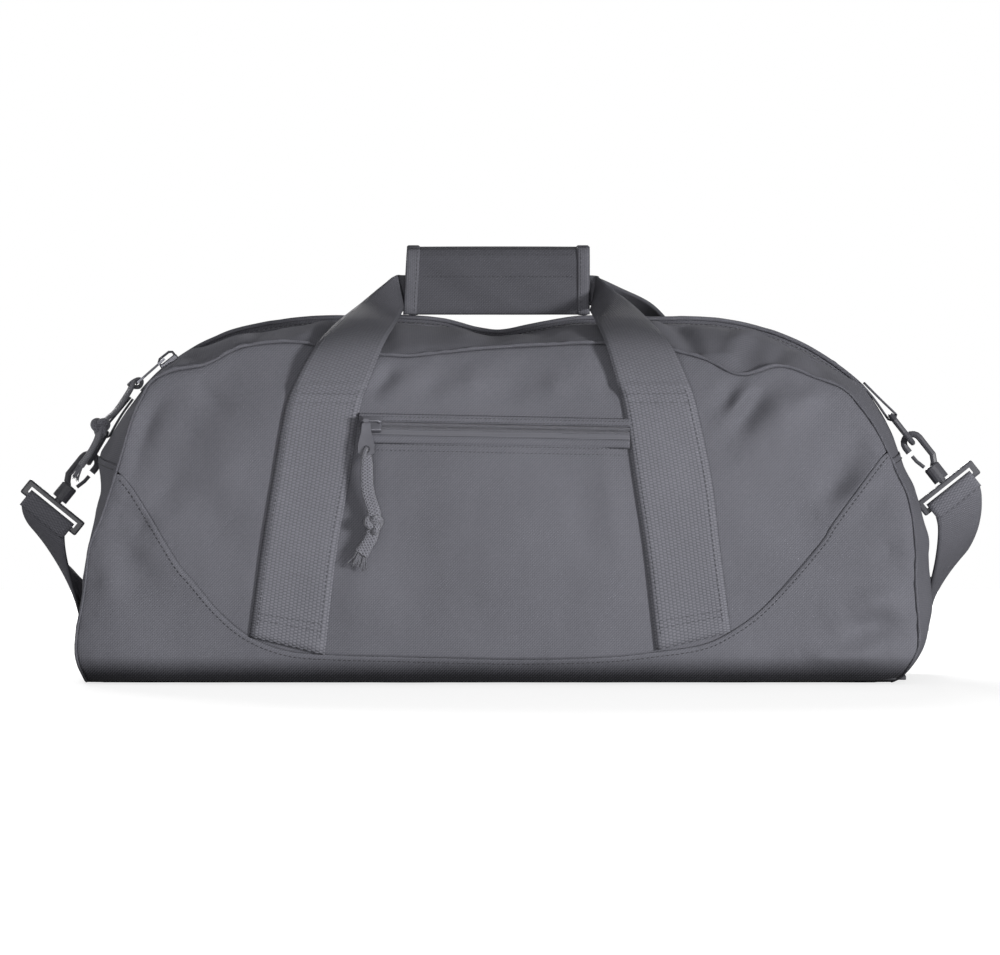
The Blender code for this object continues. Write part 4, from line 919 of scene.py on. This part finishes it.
def ribbon(name, middle, wide, material=STRAP_MAT, columns=11):
    """A strap along a middle line, with its half width's direction at each point."""
    share = np.linspace(0, 1, columns)
    grid = (middle - wide)[:, None] + 2 * wide[:, None] * share[None, :, None]
    width = np.median(np.linalg.norm(2 * wide, axis=1))
    uv = np.stack(np.broadcast_arrays(share[None] * width, run(middle)[:, None]), 2)
    strap = grid_piece(name, grid, material, uv)
    thicken(strap, STRAP_THICK, 0.0)
    return strap


# --- the grip wrap --------------------------------------------------------------------------
def wrap_profile(half, low, high, count=44):
    """A rounded section in (y, z): a rectangle with broadly rounded corners."""
    r = half * 0.85
    points = []
    for sign, z, start in ((1, high - r, 0), (-1, high - r, 90), (-1, low + r, 180), (1, low + r, 270)):
        for k in range(count // 4):
            a = math.radians(start + 90 * k / (count // 4 - 1))
            points.append((sign * (half - r) + r * math.cos(a), z + r * math.sin(a)))
    return points


def puff(pad, cap, pressure):
    """Swell a closed padded piece with a cloth simulation, never by more than cap."""
    mesh = pad.modifiers.new("even", "REMESH")
    mesh.mode = "VOXEL"
    mesh.voxel_size = 0.0022
    apply_all(pad)
    start = np.array([v.co[:] for v in pad.data.vertices])
    cloth = pad.modifiers.new("cloth", "CLOTH").settings
    cloth.use_pressure = True
    cloth.uniform_pressure_force = pressure
    cloth.effector_weights.gravity = 0.0
    cloth.tension_stiffness = 12
    cloth.mass = 0.2
    scene = bpy.context.scene
    for step in range(1, 13):
        scene.frame_set(step)
    apply_all(pad)
    move = np.array([v.co[:] for v in pad.data.vertices]) - start
    size = np.linalg.norm(move, axis=1)
    move *= np.minimum(1, cap / np.maximum(size, 1e-9))[:, None]
    pad.data.vertices.foreach_set("co", (start + move).ravel())
    pad.data.update()
    scene.frame_set(1)
    pad.data.shade_smooth()
    pad.data.materials.clear()
    pad.data.materials.append(PAD_MAT)


def grip_wrap():
    """The padded wrap, puffed by a short cloth simulation, with its bindings and flap."""
    low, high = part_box("grip_wrap")
    x0, x1, half = low.x, high.x, (high.y - low.y) / 2
    centre = Vector(((x0 + x1) / 2, 0, (low.z + high.z) / 2))

    def sleeve(name, xs, sections, thickness):
        """A sleeve round the grip, facing out, through one section at each x."""
        rows = [[(x, y, z) for y, z in section] for x, section in zip(xs, sections)]
        item = grid_piece(name, np.array(rows), PAD_MAT, closed=True)
        outward(item, centre)
        thicken(item, thickness)
        return item

    xs = np.linspace(x0 + 0.001, x1 - 0.001, 40)
    section = wrap_profile(half - 0.0015, low.z + 0.001, high.z - 0.001)
    pad = sleeve("grip_wrap_pad", xs, [section] * 40, 0.0030)
    puff(pad, 0.0025, 1.6)
    ride(pad, "handles", "grip_wrap", slot="cloth")
    wide = 0.0045
    for hand, at in (("left", x0 + wide), ("right", x1 - wide)):
        xs = np.linspace(at - wide, at + wide, 9)
        sizes = 0.0004 - 0.0012 * np.abs((xs - at) / wide) ** 4
        sections = [wrap_profile(half + s, low.z - s, min(high.z + s, 0.3008)) for s in sizes]
        ride(sleeve(f"wrap_binding_{hand}", xs, sections, 0.0012), "handles", slot="cloth")
    flap(x0, x1, half)


def flap(x0, x1, half):
    """The wrap's closing flap, its two bound edges and its rows of stitches."""
    low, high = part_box("wrap_flap")
    zs = np.linspace(low.z - 0.0016, high.z + 0.0008, 34)

    def surface(xs, lift):
        """The flap's outer face, lifted a little."""
        x, z = np.meshgrid(xs, zs)
        share = (z - zs[0]) / (zs[-1] - zs[0])
        over = np.clip((share - 0.82) / 0.18, 0, 1)
        under = np.clip((0.10 - share) / 0.10, 0, 1)
        soft = 0.0011 * np.sin(math.pi * share) + 0.0006 * np.sin(x * 60 + share * 4)
        soft += 0.0005 * np.sin(x * 140 + share * 9) * np.sin(math.pi * share)
        y = -(half + 0.0017 + soft + lift) + over**2 * 0.0046 + under**2 * 0.0016
        return np.stack([x, y, z], 2), share

    grid, share = surface(np.linspace(x0 + 0.0016, x1 - 0.0016, 70), 0.0)
    piece = grid_piece("wrap_flap_cloth", grid, FLAP_MAT, grid[..., [0, 2]])
    thicken(piece, 0.0012, 0.0)
    ride(piece, "flap", "wrap_flap", slot="cloth")
    up = np.array([0, -1.0, 0])
    rows = [grid[k, 5:-5] + up * 0.0007 for k in (19, 30)]
    for hand, at, wide, lift in (("left", x0 + 0.0042, 0.0046, 0.0009), ("right", x1 - 0.0042, 0.0042, 0.0019)):
        xs = np.linspace(at - wide, at + wide, 11)
        edge = 1 - np.abs((xs - at) / wide) ** 6
        strip, share = surface(xs, lift * edge[None])
        if hand == "left":
            strip[..., 0] += 0.0026 * share - 0.0020
        else:
            strip[..., 2] += 0.0012 * share
        item = grid_piece(f"flap_binding_{hand}", strip, BINDING_MAT, strip[..., [0, 2]])
        thicken(item, 0.0009, 0.0)
        ride(item, "flap", slot="webbing")
        rows.append(strip[1:-1, 8 if hand == "left" else 3] + up * 0.0005)
    stitches("wrap_flap_stitches", rows, [up] * 4, "flap", pitch=0.0030, length=0.0018, thick=0.00022)


# --- shoulder strap, rings, clips -----------------------------------------------------------
# each half's (x, y, z) in millimetres, then the direction across it
STRAP_LEFT = [
    (-319.8, 3, 110.4, -0.777, 0, 0.63), (-319.2, 9, 103, -0.76, 0, 0.65),
    (-317, 19, 94.5, -0.70, -0.08, 0.70), (-312.5, 35, 84, -0.58, -0.18, 0.78),
    (-306.5, 65, 70, -0.42, -0.25, 0.86), (-301, 105, 58, -0.20, -0.25, 0.94),
    (-294, 148, 44, 0.05, -0.15, 0.98), (-270, 176, 33, 0, 0.15, 0.98),
    (-230, 190, 24, 0, 0.45, 0.89), (-170, 196, 12, 0, 0.85, 0.50),
    (-100, 196, 2.2, 0, 1, 0.05), (-30, 196, 1.2, 0, 1, 0), (12, 196, 1.2, 0, 1, 0),
]
STRAP_RIGHT = [
    (11, 196, 1.2, 0, 1, 0), (50, 196, 1.2, 0, 1, 0), (120, 196, 2.6, 0, 1, 0.05),
    (185, 196, 13, 0, 0.85, 0.50), (235, 190, 25, 0, 0.45, 0.89),
    (272, 176, 34, 0, 0.15, 0.98), (296, 148, 45, -0.05, -0.15, 0.98),
    (304.5, 105, 59, 0.40, -0.30, 0.86), (310.5, 65, 74, 0.66, -0.25, 0.70),
    (315, 36, 90, 0.76, -0.12, 0.63), (317, 19, 104, 0.79, -0.03, 0.61),
    (317, 8.5, 116, 0.785, 0, 0.62), (315.4, 3, 123.6, 0.785, 0, 0.62),
]


def shoulder_strap():
    """The strap in two halves that meet under the adjuster, each bending into its clip."""
    for hand, knots, start, end in (
        ("left", STRAP_LEFT, (-0.3105, 0.050, 0.077), (-0.3195, 0.008, 0.104)),
        ("right", STRAP_RIGHT, (0.3140, 0.050, 0.084), (0.3170, 0.008, 0.1165)),
    ):
        middle, wide = np.hsplit(catmull(knots, 8), 2)
        piece = ribbon(f"shoulder_strap_{hand}", middle / 1000, unit(wide) * STRAP_HALF)
        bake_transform(piece)
        if hand == "left":
            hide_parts("shoulder_strap")


def shoulder(angle, lift, y=0.0, sign=-1):
    """A place over the bag's left (sign -1) or right shoulder."""
    a, r = math.radians(angle), SHOULDER_R + lift
    return np.array([sign * (SHOULDER_X + r * math.cos(a)), y, SHOULDER_Z + r * math.sin(a)])


def strap_loops():
    """The webbing loop round each strap bar and the tab that holds each ring."""
    half = [(3.0, 12.5), (5.0, 6.6), (5.1, 4.0), (4.7, 1.9), (3.6, 0.8), (2.0, 0.4)]
    section = catmull(np.array(half + [(0, 0.4)] + [(-y, z) for y, z in half[::-1]]) / 1000, 4)
    for hand, sign, angle, drop, axis in (
        ("left", -1, 27.0, (-0.500, 0, -0.866), (-0.630, 0, -0.777)),
        ("right", 1, 32.0, (0.620, 0, -0.785), (0.620, 0, -0.785)),
    ):
        bar, axis = shoulder(angle, 0.0047, sign=sign), np.array(axis)
        across = np.array([axis[2], 0, -axis[0]])
        foot = bar + np.array(drop) * 0.024 + axis * 0.040
        place = np.array([foot + axis * z + (0, y, 0) for y, z in section])
        loop = ribbon(f"strap_loop_{hand}", place, np.tile(across * STRAP_HALF, (len(place), 1)))
        ride(loop, f"clip_{hand}", f"strap_end_{hand}", slot="webbing")

        out = unit(bar - np.array([sign * SHOULDER_X, 0, SHOULDER_Z]))
        up = np.array([-out[2], 0, out[0]])
        up *= np.sign(up[2])
        line = [shoulder(angle + 11, 0.0016, sign=sign), shoulder(angle + 6, 0.0016, sign=sign)]
        for k in range(9):
            a = math.radians(-90 - 22.5 * k)
            line.append(bar + (out * math.sin(a) + up * math.cos(a)) * 0.0031)
        line += [shoulder(angle + 5, 0.0050, sign=sign), shoulder(angle + 11, 0.0036, sign=sign)]
        line = catmull(line, 4)
        tab = ribbon(f"ring_tab_web_{hand}", line, np.tile([0.0, 0.0100, 0.0], (len(line), 1)), columns=9)
        ride(tab, "bag", f"ring_tab_{hand}", slot="webbing")


# --- pull cords -----------------------------------------------------------------------------
def pull_cords():
    """Both pulls' doubled braids, with their knots and frayed ends."""
    hole = np.array([-0.09392, -0.14288, 0.16098])
    knot = hole + (0.0050, -0.0095, -0.0510)
    route = [
        hole + (0.0000, -0.0034, -0.0040),
        hole + (0.0003, -0.0046, -0.0110),
        hole + (0.0010, -0.0064, -0.0280),
        knot + (0.0004, 0.0004, 0.0080),
        knot,
        knot + (-0.0012, 0.0000, -0.0080),
        knot + (-0.0050, 0.0002, -0.0150),
        knot + (-0.0085, 0.0006, -0.0205),
    ]
    bight = [
        hole + (-0.0022, -0.0046, -0.0115),
        hole + (-0.0016, -0.0036, -0.0045),
        hole + (-0.0002, -0.0016, 0.0000),
        hole + (0.0002, 0.0014, -0.0008),
        hole + (0.0008, 0.0022, -0.0042),
        hole + (0.0016, 0.0000, -0.0066),
        hole + (0.0022, -0.0040, -0.0120),
    ]
    cord("pocket_cord", ["tail"], route, bight, knot, (0, -1, 0), (-0.30, -0.02, -0.95))
    hole = np.array([-0.252061, 0.0, 0.207063])
    knot = np.array([-0.2790, -0.0270, 0.1750])
    out = np.array([-0.732, 0.0, 0.681])
    down = np.array([-0.681, 0.0, -0.732])
    route = [
        hole + out * 0.0028 + down * 0.0050 + (0, -0.0028, 0),
        shoulder(39, 0.0068, -0.0092),
        shoulder(33.5, 0.0060, -0.0170),
        knot + (0.0042, 0.0044, 0.0054),
        knot,
        knot + (-0.0020, -0.0030, -0.0080),
        (-0.2862, -0.0326, 0.1570),
        (-0.2925, -0.0330, 0.1480),
    ]
    bight = [
        hole + out * 0.0034 + down * 0.0080 + (0, -0.0050, 0),
        hole + out * 0.0030 + down * 0.0040 + (0, -0.0026, 0),
        hole + out * 0.0012,
        hole - out * 0.0014,
        hole - out * 0.0026 + down * 0.0036,
        hole - out * 0.0002 + down * 0.0062 + (0, -0.0010, 0),
        hole + out * 0.0022 + down * 0.0084 + (0, -0.0030, 0),
    ]
    cord("main_cord", ["tail_1", "tail_2"], route, bight, knot, (-0.8, -0.4, 0.45), (-0.45, -0.05, -0.89))


def cord(stem, tails, route, bight, knot_at, face, hang):
    """One pull's cord: a flat braid with a groove down it, its turn through the tab, its knot
    and the loose threads at its end."""
    path = evenly(catmull(route, 12), 70)
    wide = np.interp(np.linspace(0, 1, 70), [0, 0.1, 0.9, 1], [0.0036, 0.0044, 0.0044, 0.0050])
    braid = tube_mesh(f"{stem}_braid", path, wide, CORD_MAT, 24, 0.36, face=face, groove=0.25)
    turn = tube_mesh(f"{stem}_turn", evenly(catmull(bight, 8), 40), 0.0015, CORD_MAT, face=(1, 0, 0.1))
    t = np.linspace(0, 2 * math.pi, 90, endpoint=False)
    trefoil = np.stack(
        [np.sin(t) + 2 * np.sin(2 * t), 1.5 * np.sin(3 * t), np.cos(t) - 2 * np.cos(2 * t)], 1
    )
    wraps = knot_at + trefoil * (0.0016, 0.0014, 0.0018)
    knot = tube_mesh(f"{stem}_knot_wraps", wraps, 0.0026, CORD_MAT, closed=True, face=(0.1, -1, 0.2))

    rng = np.random.default_rng(7)
    points, faces = [], []
    face, hang = np.array(face), unit(np.array(hang))
    side = unit(np.cross(hang, face))
    for k in range(26):
        share = (k % 13 - 6) / 6
        start = path[-1] + side * share * 0.0038 + face * rng.normal() * 0.0006 - hang * 0.002
        length = 0.0095 + 0.0035 * rng.random()
        bend = side * (share * 0.0030 + rng.normal() * 0.0010) + face * rng.normal() * 0.0008
        faces += bead_faces(len(points), 6, 4)
        for f in np.linspace(0, 1, 6):
            p, r = start + hang * length * f + bend * f * f, 0.00042 * (1 - 0.5 * f)
            points += [p + side * r, p + face * r, p - side * r, p - face * r]
    fray = make_mesh(f"{stem}_fray", points, faces, CORD_MAT)
    ride(braid, stem, f"{stem}_loop", *(f"{stem}_{tail}" for tail in tails), slot="cord")
    for item in (turn, fray):
        ride(item, stem, slot="cord")
    ride(knot, stem, f"{stem}_knot", slot="cord")


def paint_nodes():
    """Better materials for the CAD parts that stay."""
    looks = {
        FUZZ_MAT: ["wrap_loop_strip", "wrap_hook_strip"],
        METAL_MAT: ["main_slider", "main_pull_tab", "pocket_slider", "pocket_pull_tab"],
        PLASTIC_MAT: ["strap_adjuster"],
        BOARD_MAT: ["base_board"],
    }
    for name in ("snap_hook", "hook_gate", "strap_bar", "strap_ring"):
        looks[PLASTIC_MAT] += [f"{name}_left", f"{name}_right"]
    for material, names in looks.items():
        for name in names:
            data = NODES[name].data
            data.materials.clear()
            data.materials.append(material)


# --- stage ----------------------------------------------------------------------------------
def light(name, place, size, power):
    """A soft rectangular light that faces the bag and isn't seen itself."""
    lamp = bpy.data.lights.new(name, "AREA")
    lamp.shape = "RECTANGLE"
    lamp.size, lamp.size_y = size
    lamp.energy = power
    item = bpy.data.objects.new(name, lamp)
    bpy.context.scene.collection.objects.link(item)
    item.location = place
    item.rotation_euler = (Vector((0, 0, 0.12)) - Vector(place)).to_track_quat("-Z", "Y").to_euler()
    item.visible_camera = False


def stage():
    """A pale floor under an even white sky, soft lights and a long-lens camera."""
    grid = np.array([[(x, y, -0.0002) for y in (-9.0, -1.0, 2.6)] for x in (-9.0, 0.0, 9.0)])
    n = Nodes("pale_floor", 0.9)
    n.shader.inputs["Base Color"].default_value = (0.34, 0.34, 0.34, 1.0)
    n.shader.inputs["Emission Color"].default_value = (1, 1, 1, 1)
    seen = n.add("ShaderNodeLightPath").outputs["Is Camera Ray"]
    n.set(n.shader, "Emission Strength", n.math("MULTIPLY", seen, 0.76))
    grid_piece("floor", grid, n.material)

    # the sky is white where it is seen, and softer as a light, more from the sides than above
    world = bpy.data.worlds.new("studio")
    bpy.context.scene.world = world
    world.use_nodes = True
    nodes, link = world.node_tree.nodes, world.node_tree.links.new
    soft, white = nodes["Background"], nodes.new("ShaderNodeBackground")
    for sky in (soft, white):
        sky.inputs[0].default_value = (1, 1, 1, 1)
    split, dim = nodes.new("ShaderNodeSeparateXYZ"), nodes.new("ShaderNodeMapRange")
    mix = nodes.new("ShaderNodeMixShader")
    link(nodes.new("ShaderNodeTexCoord").outputs["Generated"], split.inputs[0])
    link(split.outputs["Z"], dim.inputs["Value"])
    dim.inputs["To Min"].default_value = 0.36
    dim.inputs["To Max"].default_value = 0.24
    link(dim.outputs["Result"], soft.inputs[1])
    link(nodes.new("ShaderNodeLightPath").outputs["Is Camera Ray"], mix.inputs[0])
    link(soft.outputs[0], mix.inputs[1])
    link(white.outputs[0], mix.inputs[2])
    link(mix.outputs[0], nodes["World Output"].inputs[0])

    light("key", (2.8, -3.0, 0.40), (0.8, 0.5), 172)
    light("fill", (-0.3, -4.2, 0.25), (1.4, 0.4), 64)
    light("back", (-0.5, 3.4, 1.4), (1.6, 0.8), 115)
    light("side", (-4.2, 0.8, 1.0), (1.0, 0.8), 32)

    lens = bpy.data.cameras.new("camera")
    camera = bpy.data.objects.new("camera", lens)
    bpy.context.scene.collection.objects.link(camera)
    distance, view_width, tilt = 10.0, 0.690, math.radians(0.9)
    aim = Vector((-0.0024, -0.06, 0.1405))
    camera.location = aim + Vector((0, -math.cos(tilt), math.sin(tilt))) * distance
    camera.rotation_euler = (aim - camera.location).to_track_quat("-Z", "Y").to_euler()
    lens.sensor_width = 36
    lens.lens = lens.sensor_width * distance / view_width
    lens.clip_end = 60
    bpy.context.scene.camera = camera
    bpy.context.scene.view_settings.view_transform = "Standard"


stage()
body_sides()
body_band()
seam_rolls()
bottom()
main_zip()
pocket_zip()
handles()
grip_wrap()
shoulder_strap()
strap_loops()
pull_cords()
paint_nodes()
